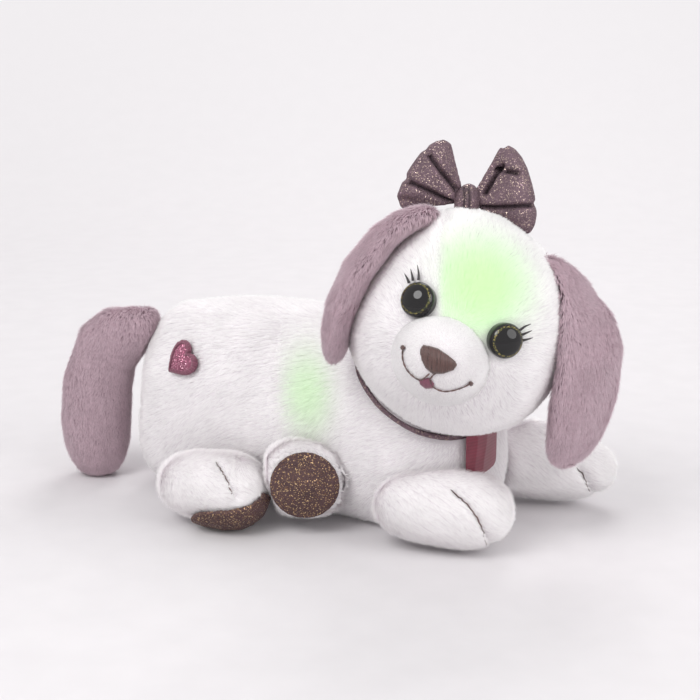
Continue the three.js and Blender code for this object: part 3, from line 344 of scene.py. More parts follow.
# Each CAD node that keeps its shape takes the finish of its material slot.
hardMaterials = {slotName: hardMaterial(facts) for slotName, facts in hardFinishes.items()}
for name, node in nodes.items():
    for place, old in enumerate(node.data.materials):
        slotName = old.name.split(".")[0]
        if slotName in hardMaterials:
            node.data.materials[place] = hardMaterials[slotName]


def evaluated(piece):
    view = bpy.context.evaluated_depsgraph_get()
    mesh = bpy.data.meshes.new_from_object(piece.evaluated_get(view))
    piece.modifiers.clear()
    piece.data = mesh
    return piece


def arrays(mesh):
    places = numpy.empty(len(mesh.vertices) * 3)
    mesh.vertices.foreach_get("co", places)
    normals = numpy.empty(len(mesh.vertices) * 3)
    mesh.vertices.foreach_get("normal", normals)
    return places.reshape(-1, 3), normals.reshape(-1, 3)


def smooth(mesh):
    mesh.polygons.foreach_set("use_smooth", numpy.ones(len(mesh.polygons), bool))


def moveTo(mesh, places):
    mesh.vertices.foreach_set("co", places.ravel())
    mesh.update()


def treeOf(piece):
    return BVHTree.FromObject(piece, bpy.context.evaluated_depsgraph_get())


def swell(piece, byMm):
    # Moves the skin along its normals, and no deeper than a third of what is behind it, so that no thin edge turns
    # inside out. It stays off the floor.
    startMm, thickestMm, deepest, floorMm = 0.1, 20, 0.35, 0.3
    places, normals = arrays(piece.data)
    tree = treeOf(piece)
    for i, place in enumerate(places):
        inwards = -Vector(normals[i])
        thick = tree.ray_cast(Vector(place) + inwards * startMm / 1000, inwards, thickestMm / 1000)[3]
        normals[i] *= byMm / 1000 if thick is None else max(byMm / 1000, -deepest * thick)
    places += normals
    places[:, 2] = numpy.maximum(places[:, 2], floorMm / 1000)
    moveTo(piece.data, places)
    return piece


def soften(name, nodeName, voxelMm, rounds, growMm=0):
    # The CAD solid's outer skin, remeshed evenly and relaxed, as stuffed fabric lies. A thin piece grows first,
    # so that the remesh keeps its rim.
    mesh = nodes[nodeName].data.copy()
    piece = addObject(name, mesh)
    if growMm:
        weld = bmesh.new()
        weld.from_mesh(mesh)
        bmesh.ops.remove_doubles(weld, verts=weld.verts, dist=1e-5)
        weld.to_mesh(mesh)
        weld.free()
        swell(piece, growMm)
    remesh = piece.modifiers.new("even", "REMESH")
    remesh.mode = "VOXEL"
    remesh.voxel_size = voxelMm / 1000
    remesh.use_smooth_shade = True
    relax = piece.modifiers.new("relax", "SMOOTH")
    relax.factor = 0.5
    relax.iterations = rounds
    evaluated(piece)
    # Only the largest shell is the outside.
    work = bmesh.new()
    work.from_mesh(piece.data)
    left = set(work.verts)
    shells = []
    while left:
        shell, front = set(), [left.pop()]
        while front:
            vert = front.pop()
            shell.add(vert)
            for edge in vert.link_edges:
                other = edge.other_vert(vert)
                if other in left:
                    left.discard(other)
                    front.append(other)
        shells.append(shell)
    for shell in sorted(shells, key=len)[:-1]:
        bmesh.ops.delete(work, geom=list(shell), context="VERTS")
    work.to_mesh(piece.data)
    work.free()
    smooth(piece.data)
    piece.data.update()
    return piece


def puff(piece, pressure, capMm):
    # The stuffing pushes the skin out where nothing holds it, as the real filling does.
    frames = 20
    start, _ = arrays(piece.data)
    cloth = piece.modifiers.new("stuffing", "CLOTH")
    cloth.settings.use_pressure = True
    cloth.settings.uniform_pressure_force = pressure
    cloth.settings.effector_weights.gravity = 0
    cloth.point_cache.frame_start = 1
    cloth.point_cache.frame_end = frames
    for step in range(1, frames + 1):
        bpy.context.scene.frame_set(step)
    evaluated(piece)
    bpy.context.scene.frame_set(1)
    places, _ = arrays(piece.data)
    move = places - start
    far = numpy.linalg.norm(move, axis=1, keepdims=True)
    print("stuffed:", piece.name, len(start), "points, moved", round(float(far.mean()) * 1000, 2), "mm")
    moveTo(piece.data, start + move * numpy.minimum(1, capMm / 1000 / numpy.maximum(far, 1e-9)))
    return piece


def finer(piece):
    # Each face becomes four, rounded
    rounder = piece.modifiers.new("finer", "SUBSURF")
    rounder.levels = rounder.render_levels = 1
    return evaluated(piece)


def skinOf(nodeName, facts):
    # The stuffed skin in the place of a solid, drawn in by what the pile adds to it
    skin = soften(nodeName + "_skin", nodeName, facts["voxelMm"], facts["rounds"])
    if "pressure" in facts:
        skin = finer(puff(skin, facts["pressure"], facts["capMm"]))
    return swell(skin, facts["swellMm"])


def lineDistance(points, line):
    # How far each point is from a line of several pieces
    best = numpy.full(len(points), 1e9)
    for a, b in zip(line[:-1], line[1:]):
        a, b = numpy.array(a, float), numpy.array(b, float)
        along = numpy.clip(((points - a) @ (b - a)) / max((b - a) @ (b - a), 1e-9), 0, 1)
        best = numpy.minimum(best, numpy.linalg.norm(points - a - along[:, None] * (b - a), axis=1))
    return best


def crease(piece, line, widthMm, depthMm, facing=1):
    # Draws the skin in along a line of the photograph, on the side that the camera sees, and, where it draws in, lays
    # painted shade along it
    places, normals = arrays(piece.data)
    away = lineDistance(pixelOf(places), line) * pixelMm
    eye = numpy.array(cameraPlace) - places
    eye /= numpy.linalg.norm(eye, axis=1, keepdims=True)
    seen = numpy.clip((normals * eye).sum(1) * facing * 2, 0, 1)
    near = numpy.exp(-((away / widthMm) ** 2)) * seen
    moveTo(piece.data, places - normals * near[:, None] * depthMm / 1000)
    if depthMm < 0:
        return
    # Painted shade: glitter cloth is darkened deep in a fold, a little narrower than the fold itself, where the fold's
    # shade falls.
    mesh = piece.data
    foldShade = numpy.zeros(len(places))
    if "foldShade" in mesh.attributes:
        mesh.attributes["foldShade"].data.foreach_get("value", foldShade)
        mesh.attributes.remove(mesh.attributes["foldShade"])
    writeFloat(mesh, "foldShade", numpy.maximum(foldShade, numpy.exp(-((away / widthMm) ** 2) * 1.6) * seen))


def nudge(piece, line, widthMm, rightMm, upMm):
    # Moves the skin near a line of the photograph across the picture, where its outline calls for it
    places, _ = arrays(piece.data)
    away = lineDistance(pixelOf(places), line) * pixelMm
    way = numpy.array(cameraTurn @ Vector((rightMm, upMm, 0))) / 1000
    moveTo(piece.data, places + numpy.exp(-((away / widthMm) ** 2))[:, None] * way)


def closeUp(piece, other, reachMm, byMm):
    # Draws the skin that faces a neighbour up to byMm towards it, so that the seam between them closes
    seam = 0.0008
    points, _ = arrays(piece.data)
    tree = treeOf(other)
    for i, place in enumerate(points):
        spot, _, _, away = tree.find_nearest(Vector(place), reachMm / 1000)
        if spot is not None and away > seam:
            share = min(1.0, 2 * (1 - away * 1000 / reachMm))
            points[i] += (numpy.array(spot) - place) / away * min(byMm / 1000, away - seam) * share
    moveTo(piece.data, points)


# Where the lamps inside show through the pile: the place in the photograph, how far the light reaches, the column
# of the seam that holds it back, and how much of it gets out
glows = {
    "head": {"pixel": (479, 288), "acrossMm": 24, "upMm": 23, "turn": -12, "edge": 441, "most": 0.92},
    "torso": {"pixel": (310, 392), "acrossMm": 15, "upMm": 24, "turn": 0, "edge": 281, "most": 0.42},
}


def glowAt(places, spot, tree):
    # An even glow with a soft rim, and only a quarter of it past the seam
    deepMm, seamPixels, pastSeam = 45, 8, 0.25
    hit = tree.ray_cast(*pixelRay(*spot["pixel"]))[0]
    off = (places - numpy.array(hit)) * 1000
    c, s = cos(radians(spot["turn"])), sin(radians(spot["turn"]))
    across = (off[:, 0] * c + off[:, 2] * s) / spot["acrossMm"]
    up = (-off[:, 0] * s + off[:, 2] * c) / spot["upMm"]
    deep = off[:, 1] / deepMm
    near = numpy.exp(-1.2 * (across**2 + up**2 + deep**2) ** 1.2)
    inside = numpy.clip((pixelOf(places)[:, 0] - spot["edge"]) / seamPixels + 0.5, 0, 1)
    return spot["most"] * near * (pastSeam + (1 - pastSeam) * inside)


def writeFloat(mesh, name, values):
    layer = mesh.attributes.new(name, "FLOAT", "POINT")
    layer.data.foreach_set("value", values)


def triangles(mesh):
    mesh.calc_loop_triangles()
    corners = numpy.empty(len(mesh.loop_triangles) * 3, int)
    mesh.loop_triangles.foreach_get("vertices", corners)
    return corners.reshape(-1, 3)


def wander(places, sizeMm, seed):
    # A slow wandering of the comb's direction over the skin, of five waves, the same each run
    random = numpy.random.default_rng(seed)
    total = numpy.zeros_like(places)
    for _ in range(5):
        way = random.normal(size=3)
        way *= 2 * pi * 1000 / sizeMm / numpy.linalg.norm(way) * random.uniform(0.6, 1.5)
        total += numpy.sin(places @ way + random.uniform(0, 2 * pi))[:, None] * random.normal(size=3)
    return total / 2.5


def tuftPull(places, sizeMm, seed):
    # Which way each hair leans to join its neighbours in a tuft. The tufts are the cells of a warped grid, and a hash
    # of each cell moves its middle.
    random = numpy.random.default_rng(seed)
    turn = numpy.linalg.qr(random.normal(size=(3, 3)))[0]
    warped = (places + 0.0012 * wander(places, sizeMm * 1.7, seed + 1)) @ turn * 1000 / sizeMm
    cell = numpy.floor(warped)
    mixed = numpy.sin(cell @ random.uniform(10, 90, (3, 3)) + 1.3) * 43758.5453
    middle = cell + 0.5 + 0.35 * (mixed - numpy.floor(mixed) - 0.5)
    return (middle - warped) @ turn.T * sizeMm / 1000


def unit(vectors):
    return vectors / numpy.maximum(numpy.linalg.norm(vectors, axis=1, keepdims=True), 1e-9)


def shorten(places, lengths, barriers):
    # No hair grows under a patch or an eye, and beside it the pile is trimmed.
    for tree, bareMm, trimMm, least in barriers:
        low, high = tree[1] - trimMm / 1000, tree[2] + trimMm / 1000
        near = numpy.nonzero(((places > low) & (places < high)).all(1))[0]
        for i in near:
            found = tree[0].find_nearest(Vector(places[i]), trimMm / 1000)
            if found[0] is None:
                continue
            gapMm = found[3] * 1000
            if gapMm < bareMm:
                lengths[i] = 0
            else:
                share = (gapMm - bareMm) / max(trimMm - bareMm, 0.01)
                lengths[i] *= least + (1 - least) * min(1, share)
    return lengths


def barrier(piece, bareMm, trimMm, least):
    # Nothing grows within bareMm of the piece, and up to trimMm the pile comes back from least of its length.
    places, _ = arrays(piece.data)
    return (treeOf(piece), places.min(0), places.max(0)), bareMm, trimMm, least


def growPile(name, skin, facts, comb, look, barriers=(), lines=(), spot=None):
    # Hairs as slim blades that stand on the skin and lean as they were brushed, shorter beside a seam or stitched line
    shortest, longest, rollDegrees, seamTrim = 0.7, 1.15, 22, 0.6
    rootDepth, floor, stub = 0.0003, 0.0004, 0.0002
    random = numpy.random.default_rng(facts["seed"])
    points, normals = arrays(skin.data)
    corners = triangles(skin.data)
    a, b, c = (points[corners[:, k]] for k in range(3))
    areas = numpy.linalg.norm(numpy.cross(b - a, c - a), axis=1)
    chosen = random.choice(len(corners), facts["hairs"], p=areas / areas.sum())
    u, v = random.random(facts["hairs"]), random.random(facts["hairs"])
    over = u + v > 1
    u[over], v[over] = 1 - u[over], 1 - v[over]
    share = numpy.stack((1 - u - v, u, v), 1)
    at = sum(points[corners[chosen, k]] * share[:, k : k + 1] for k in range(3))
    up = unit(sum(normals[corners[chosen, k]] * share[:, k : k + 1] for k in range(3)))
    lengths = facts["lengthMm"] / 1000 * random.uniform(shortest, longest, len(at))
    lengths = shorten(at, lengths, barriers)
    for line, widthMm in lines:
        away = lineDistance(pixelOf(at), line) * pixelMm
        lengths *= 1 - seamTrim * numpy.exp(-((away / widthMm) ** 2))
    kept = lengths > stub
    at, up, lengths = at[kept], up[kept], lengths[kept]
    brushed = comb(at) + facts["wave"] * wander(at, facts["waveMm"], facts["seed"])
    brushed -= (brushed * up).sum(1, keepdims=True) * up
    pull = tuftPull(at, facts["tuftMm"], facts["seed"])
    pull -= (pull * up).sum(1, keepdims=True) * up
    loose = random.normal(size=at.shape) * facts["loose"]
    rise = unit(up + facts["lean"] * unit(brushed) + loose)
    flat = unit(numpy.cross(rise, up) + 0.02 * random.normal(size=at.shape))
    roll = random.uniform(-1, 1, len(at))[:, None] * radians(rollDegrees)
    side = flat * numpy.cos(roll) + numpy.cross(rise, flat) * numpy.sin(roll)  # its face stays turned outwards
    half = facts["widthMm"] / 2000
    reach = lengths[:, None]
    tip = at + rise * reach + pull * facts["tuft"]
    tip[:, 2] = numpy.maximum(tip[:, 2], floor)
    root = at - up * rootDepth
    if facts["bend"]:
        # It rises first and leans further on.
        middle = at + unit(rise + 0.6 * up) * reach * 0.5 + pull * facts["tuft"] * 0.25
        middle[:, 2] = numpy.maximum(middle[:, 2], floor)
        rows = [root - side * half, root + side * half, middle - side * half * 0.8, middle + side * half * 0.8, tip]
        pattern = [(0, 1, 3), (0, 3, 2), (2, 3, 4)]
        tips = [0, 0, 0.5, 0.5, 1]
    else:
        rows = [root - side * half, root + side * half, tip]
        pattern = [(0, 1, 2)]
        tips = [0, 0, 1]
    count, many = len(at), len(rows)
    points = numpy.stack(rows, 1).reshape(-1, 3)
    first = numpy.arange(count)[:, None, None] * many
    faces = (first + numpy.array(pattern)[None]).reshape(-1, 3)
    mesh = bpy.data.meshes.new(name)
    mesh.vertices.add(len(points))
    mesh.vertices.foreach_set("co", points.ravel())
    mesh.loops.add(faces.size)
    mesh.loops.foreach_set("vertex_index", faces.ravel())
    mesh.polygons.add(len(faces))
    mesh.polygons.foreach_set("loop_start", numpy.arange(len(faces)) * 3)
    smooth(mesh)
    mesh.update(calc_edges=True)
    writeFloat(mesh, "tip", numpy.tile(tips, count))
    writeFloat(mesh, "shade", numpy.repeat(random.random(count), many))
    glow = glowAt(at, spot, treeOf(skin)) if spot else numpy.zeros(count)
    writeFloat(mesh, "glow", numpy.repeat(glow, many))
    # The light falls on the pile as on the skin under it, turned a little by each hair's lean.
    lit = unit(up + facts["relief"] * (tip - at) / reach - facts["relief"] * up)
    mesh.normals_split_custom_set_from_vertices(numpy.repeat(lit, many, 0))
    # Every hair reads the map where its root stands, so the map is that of a ball round the piece. Its corners lie a
    # little apart, so that each blade has a patch of its own.
    centre = (at.min(0) + at.max(0)) / 2
    out = unit(at - centre)
    across = numpy.arctan2(out[:, 0], -out[:, 1]) / (2 * pi) + 0.5
    high = numpy.arcsin(numpy.clip(out[:, 2], -1, 1)) / pi + 0.5
    spread = numpy.array([(-0.0007, 0), (0.0007, 0), (-0.0005, 0.0008), (0.0005, 0.0008), (0, 0.0016)])
    if not facts["bend"]:
        spread = spread[[0, 1, 4]]
    flat = numpy.stack((across, high), 1)[:, None] * 0.996 + 0.001 + spread[None]
    layer = mesh.uv_layers.new(name="OFBake")
    layer.data.foreach_set("uv", flat.reshape(-1, 2)[faces.ravel()].ravel())
    newPiece(name, mesh, look)
    print("pile:", name, count, "hairs")


def towards(*way):
    way = Vector(way).normalized()
    return lambda places: numpy.tile(numpy.array(way), (len(places), 1))


def outFrom(point, fallMm=1000):
    # Brushed away from one point, and past fallMm from it more and more downwards
    centre = numpy.array(point)

    def comb(places):
        way = unit(places - centre)
        far = numpy.linalg.norm(places - centre, axis=1) * 1000
        way[:, 2] -= numpy.clip((far - fallMm) / 30, 0, 1.5)
        return way

    return comb


bodyAhead = bodyFrame.to_3x3() @ Vector((1, 0, 0))
faceMiddle = headFrame @ Vector((0, -0.066, -0.012))

# The long pile of the torso, which the other piles take up with changes
longPile = {"lengthMm": 5.0, "widthMm": 0.5, "lean": 3.2, "wave": 0.4, "waveMm": 45, "tuftMm": 3.6, "tuft": 0.35,
            "loose": 0.2, "relief": 0.16, "bend": False}
# Torso
torsoFacts = {
    "voxelMm": 4.4, "rounds": 3, "pressure": 4.0, "capMm": 2.5, "swellMm": -2.2, "fill": 0.75,
    "pile": dict(longPile, hairs=185000, seed=11),
}
torso = skinOf("torso", torsoFacts)
nudge(torso, [(160, 305), (178, 296)], 12.0, -3.0, 6.0)
crease(torso, [(288, 296), (282, 330), (280, 385), (284, 434)], 3.0, 1.2)
# Head and muzzle
headFacts = {
    "voxelMm": 2.0, "rounds": 5, "swellMm": -0.5, "fill": 0.85,
    "pile": dict(longPile, hairs=150000, seed=12, lengthMm=4.6, widthMm=0.45, wave=0.35, waveMm=35, tuftMm=3.2,
                 tuft=0.3, loose=0.18, relief=0.15),
    "seam": [(446, 214), (442, 236), (439, 258), (440, 278)],
}
head = skinOf("head", headFacts)
crease(head, [(440, 222), (470, 208), (500, 212), (520, 222)], 10.0, -3.0)
nudge(head, [(445, 214), (470, 208), (500, 213)], 9.0, 0.0, 2.5)
muzzleFacts = {
    "voxelMm": 1.4, "rounds": 4, "swellMm": -0.4, "fill": 0.85,
    "pile": dict(longPile, hairs=70000, seed=13, lengthMm=1.4, widthMm=0.35, lean=2.4, waveMm=25, tuftMm=2.0,
                 tuft=0.15, relief=0.15),
}
muzzle = skinOf("muzzle", muzzleFacts)
crease(head, headFacts["seam"], 2.2, 1.8)

# Legs
limbs = {
    "right_front_leg": {"hairs": 52000, "toes": [[(451, 490), (469, 506), (482, 527), (487, 549)]]},
    "left_front_leg": {"hairs": 46000, "toes": [[(576, 466), (584, 477), (589, 490)]]},
    "right_hind_leg": {"hairs": 50000, "toes": [[(216, 463), (226, 478), (232, 496)]]},
    "left_hind_leg": {"hairs": 40000, "toes": []},
}
limbFacts = {
    "voxelMm": 3.6, "rounds": 3, "pressure": 4.0, "capMm": 2.0, "swellMm": -1.7, "fill": 0.75,
    "pile": dict(longPile, lengthMm=5.6, lean=2.8, wave=0.35, waveMm=30, tuftMm=3.4),
}
limbSkins = {}
for name, facts in limbs.items():
    skin = skinOf(name, limbFacts)
    for line in facts["toes"]:
        crease(skin, line, 2.6, 2.2)
    limbSkins[name] = skin
nudge(limbSkins["left_front_leg"], [(530, 428), (552, 420)], 10.0, 0.0, 6.0)
closeUp(limbSkins["left_front_leg"], torso, 9.0, 3.0)
# The right front leg gives way where the collar tag hangs over it.
nudge(limbSkins["right_front_leg"], [(470, 470), (498, 474)], 8.0, 0.0, -1.5)
print("skins made")


# Sewing: threads are round tubes that lie on the cloth and dip in at their ends.
def along(points, count):
    line = [Vector(p) for p in points]
    if len(line) == 2:
        return [line[0].lerp(line[1], i / (count - 1)) for i in range(count)]
    ends = [2 * line[0] - line[1], *line, 2 * line[-1] - line[-2]]
    out = []
    for i in range(count):
        place = i / (count - 1) * (len(line) - 1)
        k = min(int(place), len(line) - 2)
        t = place - k
        a, b, c, d = ends[k : k + 4]
        out.append(
            0.5 * (2 * b + (c - a) * t + (2 * a - 5 * b + 4 * c - d) * t**2 + (3 * b - a - 3 * c + d) * t**3)
        )
    return out


def tubes(name, strands, sides, look, *replaced):
    # Each strand is its points, a radius at each of them, and its shade, the painted sheen of its thread.
    points, faces, shades = [], [], []
    for line, radii, shade in strands:
        first = len(points)
        for i, place in enumerate(line):
            way = (line[min(i + 1, len(line) - 1)] - line[max(i - 1, 0)]).normalized()
            side = way.orthogonal().normalized() if i == 0 else (side - way * side.dot(way)).normalized()
            other = way.cross(side)
            for k in range(sides):
                turn = 2 * pi * k / sides
                points.append(place + (side * cos(turn) + other * sin(turn)) * radii[i])
        for i in range(len(line) - 1):
            for k in range(sides):
                a, b = first + i * sides + k, first + i * sides + (k + 1) % sides
                faces.append((a, b, b + sides, a + sides))
        faces.append([first + k for k in reversed(range(sides))])
        faces.append([first + (len(line) - 1) * sides + k for k in range(sides)])
        shades += [shade] * (len(line) * sides)
    mesh = bpy.data.meshes.new(name)
    mesh.from_pydata(points, [], faces)
    smooth(mesh)
    writeFloat(mesh, "shade", shades)
    mesh.update()
    return newPiece(name, mesh, look, *replaced)


def onSkin(tree, pixel, liftMm=0.0):
    origin, way = pixelRay(*pixel)
    place, normal, _, _ = tree.ray_cast(origin, way)
    if place is None:
        place, normal, _, _ = tree.find_nearest(origin + way * toyAway)
    return place + normal * liftMm / 1000


def towardsEye(tree, pixel, liftMm):
    # Lifted along the line of sight, so that it still covers its pixel
    place = onSkin(tree, pixel)
    return place - pixelRay(*pixel)[1] * liftMm / 1000


def layOn(tree, points, liftMm):
    farSide = 0.004
    out = []
    for point in points:
        place, normal, _, _ = tree.find_nearest(point)
        if (point - place).dot(normal) < -farSide:
            normal = -normal
        out.append(place + normal * liftMm / 1000)
    return out


def stitchLine(tree, pixels, stitchMm, radiusMm, liftMm):
    # Back stitch along a line of the photograph: short, fat threads end to end, each of them thinner where it dives
    # into the cloth and a little longer than its share
    overlap, thin = 0.12, 0.45
    path = along([onSkin(tree, p) for p in pixels], 60)
    lengths = [0.0]
    for a, b in zip(path[:-1], path[1:]):
        lengths.append(lengths[-1] + (b - a).length)
    total = lengths[-1]
    count = max(1, round(total * 1000 / stitchMm))

    def pointAt(reach):
        for i in range(len(path) - 1):
            if lengths[i + 1] >= reach:
                share = (reach - lengths[i]) / max(lengths[i + 1] - lengths[i], 1e-9)
                return path[i].lerp(path[i + 1], share)
        return path[-1]

    strands = []
    for k in range(count):
        low, high = total * (k - overlap) / count, total * (k + 1 + overlap) / count
        line = layOn(tree, [pointAt(max(0, low + (high - low) * t / 6)) for t in range(7)], liftMm)
        lifts = [sin(pi * t / 6) for t in range(7)]
        radii = [radiusMm / 1000 * (thin + (1 - thin) * s) for s in lifts]
        strands.append((line, radii, 0.3 + 0.5 * ((k * 7) % 5) / 4))
    return strands


def satinStitch(tree, outline, threadMm, liftMm, humpMm):
    # Threads side by side across an outline of the photograph, from its upper to its lower edge, laid so close that
    # they press on each other
    packing, thin = 0.8, 0.7
    xs = [p[0] for p in outline]
    step = threadMm / pixelMm * packing
    count = int((max(xs) - min(xs)) / step)
    strands = []
    for k in range(count):
        x = min(xs) + (max(xs) - min(xs)) * (k + 0.5) / count
        crossings = []
        for (ax, ay), (bx, by) in zip(outline, outline[1:] + outline[:1]):
            if (ax - x) * (bx - x) < 0:
                crossings.append(ay + (by - ay) * (x - ax) / (bx - ax))
        if len(crossings) < 2:
            continue
        top, foot = min(crossings), max(crossings)
        line = []
        for t in range(9):
            y = top + (foot - top) * t / 8
            hump = humpMm * sin(pi * t / 8) * sin(pi * (k + 0.5) / count) ** 0.5
            line.append(onSkin(tree, (x, y), liftMm + hump))
        radii = [threadMm / 2000 * (thin if t in (0, 8) else 1) for t in range(9)]
        strands.append((line, radii, 0.45 + 0.2 * ((k * 5) % 7) / 6))
    return strands


# Eyes: a domed button on a seat, black with a ring of flecks
eyeFacts = {"diameterMm": 18, "domeMm": 6.2, "spreadMm": 23.7, "headRadiusMm": 59}


def makeEye(name, side, riseMm):
    # The dome takes up most of the rings. The last ones are the rim, drawn in a little and sunk into the face.
    domeShare, domeTurn, rimDraw, sunkFrom, sunk = 0.9, 1.12, 0.35, 0.95, 0.003
    ahead = (eyeFacts["headRadiusMm"] ** 2 - eyeFacts["spreadMm"] ** 2 - riseMm**2) ** 0.5
    seat = Vector((side * eyeFacts["spreadMm"], -ahead, riseMm)) / 1000
    axis = seat.normalized()
    across = axis.cross(Vector((0, 0, 1))).normalized()
    high = across.cross(axis)
    radius, dome = eyeFacts["diameterMm"] / 2000, eyeFacts["domeMm"] / 1000
    rings, turns = 22, 64
    points, faces, reach = [seat + axis * dome], [], [0.0]
    for i in range(1, rings + 1):
        share = i / rings
        wide = min(1, sin(share * domeTurn * pi / 2)) if share < domeShare else 1 - rimDraw * (share - domeShare)
        out = radius * wide
        up = dome * cos(share * pi / 2) - (sunk if share > sunkFrom else 0)
        for k in range(turns):
            turn = 2 * pi * k / turns
            points.append(seat + axis * up + (across * cos(turn) + high * sin(turn)) * out)
            reach.append(min(1, out / radius) if share < domeShare else 1.0)
    for k in range(turns):
        faces.append((0, 1 + k, 1 + (k + 1) % turns))
    for i in range(rings - 1):
        for k in range(turns):
            a, b = 1 + i * turns + k, 1 + i * turns + (k + 1) % turns
            faces.append((a, a + turns, b + turns, b))
    faces.append([1 + (rings - 1) * turns + k for k in range(turns)])
    mesh = bpy.data.meshes.new(name)
    mesh.from_pydata([headFrame @ p for p in points], [], faces)
    smooth(mesh)
    writeFloat(mesh, "reach", reach)
    work = bmesh.new()
    work.from_mesh(mesh)
    bmesh.ops.recalc_face_normals(work, faces=work.faces)
    work.to_mesh(mesh)
    work.free()
    return newPiece(name, mesh, ("head", "black_eye_plastic", eyeAcrylic), name.replace("_button", ""))


rightEye = makeEye("right_eye_button", -1, 0.7)
leftEye = makeEye("left_eye_button", 1, 3.2)

headTree = treeOf(head)
muzzleTree = treeOf(muzzle)
torsoTree = treeOf(torso)

# Lashes: stitches of black thread that stand a little off the face
lashFacts = {"radiusMm": 0.75, "liftMm": 2.4, "tipLiftMm": 4.4}
lashes = {
    "right_eye_lashes": [((409, 283), (407, 278), (404.5, 273.6)), ((413, 280.6), (412, 275), (410.6, 268.8)),
                         ((418.5, 280), (418.6, 273), (417.3, 265))],
    "left_eye_lashes": [((519.5, 330.5), (525, 326.5), (531, 324)), ((520.5, 335.5), (526.5, 333), (532, 330.5)),
                        ((520.5, 341), (527, 339.5), (533, 337.6))],
}
for name, lines in lashes.items():
    strands = []
    for line in lines:
        spots = [
            towardsEye(headTree, p, lashFacts["liftMm"] + (lashFacts["tipLiftMm"] - lashFacts["liftMm"]) * k / 2)
            for k, p in enumerate(line)
        ]
        path = along(spots, 12)
        radii = [lashFacts["radiusMm"] / 1000 * (1 - 0.8 * (i / 11) ** 1.5) for i in range(12)]
        strands.append((path, radii, 0.4))
    tubes(name, strands, 8, ("head", "black_eye_plastic", blackThread))

# Nose, mouth and tongue
noseOutline = [(424, 345.6), (430, 346.6), (438, 349), (448, 355.6), (454.6, 361.4), (455.8, 365), (453, 369.5),
               (443, 373), (433, 373), (426.5, 368), (423, 361), (421.3, 353), (422, 348)]
faceStitches = ("head", "brown_embroidery", brownThread)
nose = tubes("nose_satin_stitch", satinStitch(muzzleTree, noseOutline, 0.75, 0.9, 1.4), 6, faceStitches, "nose")
mouthLines = [
    [(404.5, 348.5), (404, 358), (409, 370.5), (420.6, 379), (430, 373)],
    [(438, 371), (434, 374), (430, 378.5)],
    [(430, 378), (434, 386), (443, 390), (454, 389), (468.7, 383)],
]
mouthStrands = []
for line in mouthLines:
    mouthStrands += stitchLine(muzzleTree, line, 3.2, 0.45, 0.9)
# A small star of stitches at each corner of the mouth
for spot in ((404.5, 348), (469.5, 382.5)):
    for k in range(4):
        turn = pi * k / 4
        ends = [
            onSkin(muzzleTree, (spot[0] + s * 2.0 * cos(turn), spot[1] + s * 2.0 * sin(turn)), 1.1 + 0.2 * (1 - abs(s)))
            for s in (-1, 0, 1)
        ]
        mouthStrands.append((along(ends, 5), [0.00045] * 5, 0.35 + 0.1 * k))
mouth = tubes("mouth_stitches", mouthStrands, 6, faceStitches)
tongueOutline = [(419.5, 379), (421, 384), (426, 388), (433, 387.5), (434, 383), (430, 377.5), (424, 378)]
tongueLook = ("head", "pink_felt", roseThread)
tongue = tubes("tongue_satin_stitch", satinStitch(muzzleTree, tongueOutline, 0.7, 0.5, 0.6), 6, tongueLook, "tongue")
print("face sewn")


# Patches, collar and soles keep the CAD's outline, remeshed finely so that their edges roll over.
heart = soften("heart_patch_pad", "heart_patch", 0.45, 3, 0.7)
pad(heart, ("heart", "pink_glitter_fabric", pinkGlitter), "heart_patch")


def overStitches(piece, normal, count, insideMm, outsideMm, threadMm):
    # Short stitches over the edge of a patch. Past the edge the thread goes down beside it.
    outside, above, lift, down, out = 0.03, 0.008, 0.0004, 0.0014, 0.0006
    tree = treeOf(piece)
    places, _ = arrays(piece.data)
    centre = Vector(places.mean(0))
    side = normal.orthogonal().normalized()
    other = normal.cross(side)
    strands = []
    for k in range(count):
        turn = 2 * pi * k / count
        way = side * cos(turn) + other * sin(turn)
        edge = tree.ray_cast(centre + way * outside, -way)[0]
        if edge is None:
            continue
        spots = []
        for reach in (insideMm, insideMm / 2, 0.0, -outsideMm):
            start = edge - way * reach / 1000 + normal * above
            top = tree.ray_cast(start, -normal)[0]
            if top is None:
                top = spots[-1] - normal * down + way * out
            spots.append(top + normal * lift)
        strands.append((along(spots, 7), [threadMm / 2000] * 7, 0.2 + 0.6 * ((k * 5) % 7) / 6))
    return strands


heartNormal = Vector((-0.528066, -0.778681, 0.338826))
rimStitches = overStitches(heart, heartNormal, 150, 1.8, 0.5, 0.7)
tubes("heart_rim_stitches", rimStitches, 6, ("heart", "pink_glitter_fabric", roseThread))
rightSole = soften("right_hind_sole_pad", "right_hind_sole", 0.5, 3, 0.5)
pad(rightSole, ("right_hind_leg", "brown_glitter_fabric", brownGlitter), "right_hind_sole")
leftSole = soften("left_hind_sole_pad", "left_hind_sole", 0.5, 3, 0.6)
crease(leftSole, [(303, 484), (304, 485)], 13.0, -1.8)
pad(leftSole, ("left_hind_leg", "brown_glitter_fabric", brownGlitter), "left_hind_sole")
collar = soften("collar_band", "collar", 0.5, 3, 0.9)
nudge(collar, [(370, 373), (385, 400), (420, 428), (465, 438)], 8.0, -1.0, -1.5)
pad(collar, ("body", "rose_glitter_fabric", roseGlitter), "collar")
tag = soften("collar_tag_ribbon", "collar_tag", 0.5, 3)
pad(tag, ("tag", "red_ribbon", satinRibbon), "collar_tag")


def bowPixel(x, y):
    # The bow's lines were read from a crop of the photograph, six times as large.
    return 370 + x / 6, 115 + y / 6


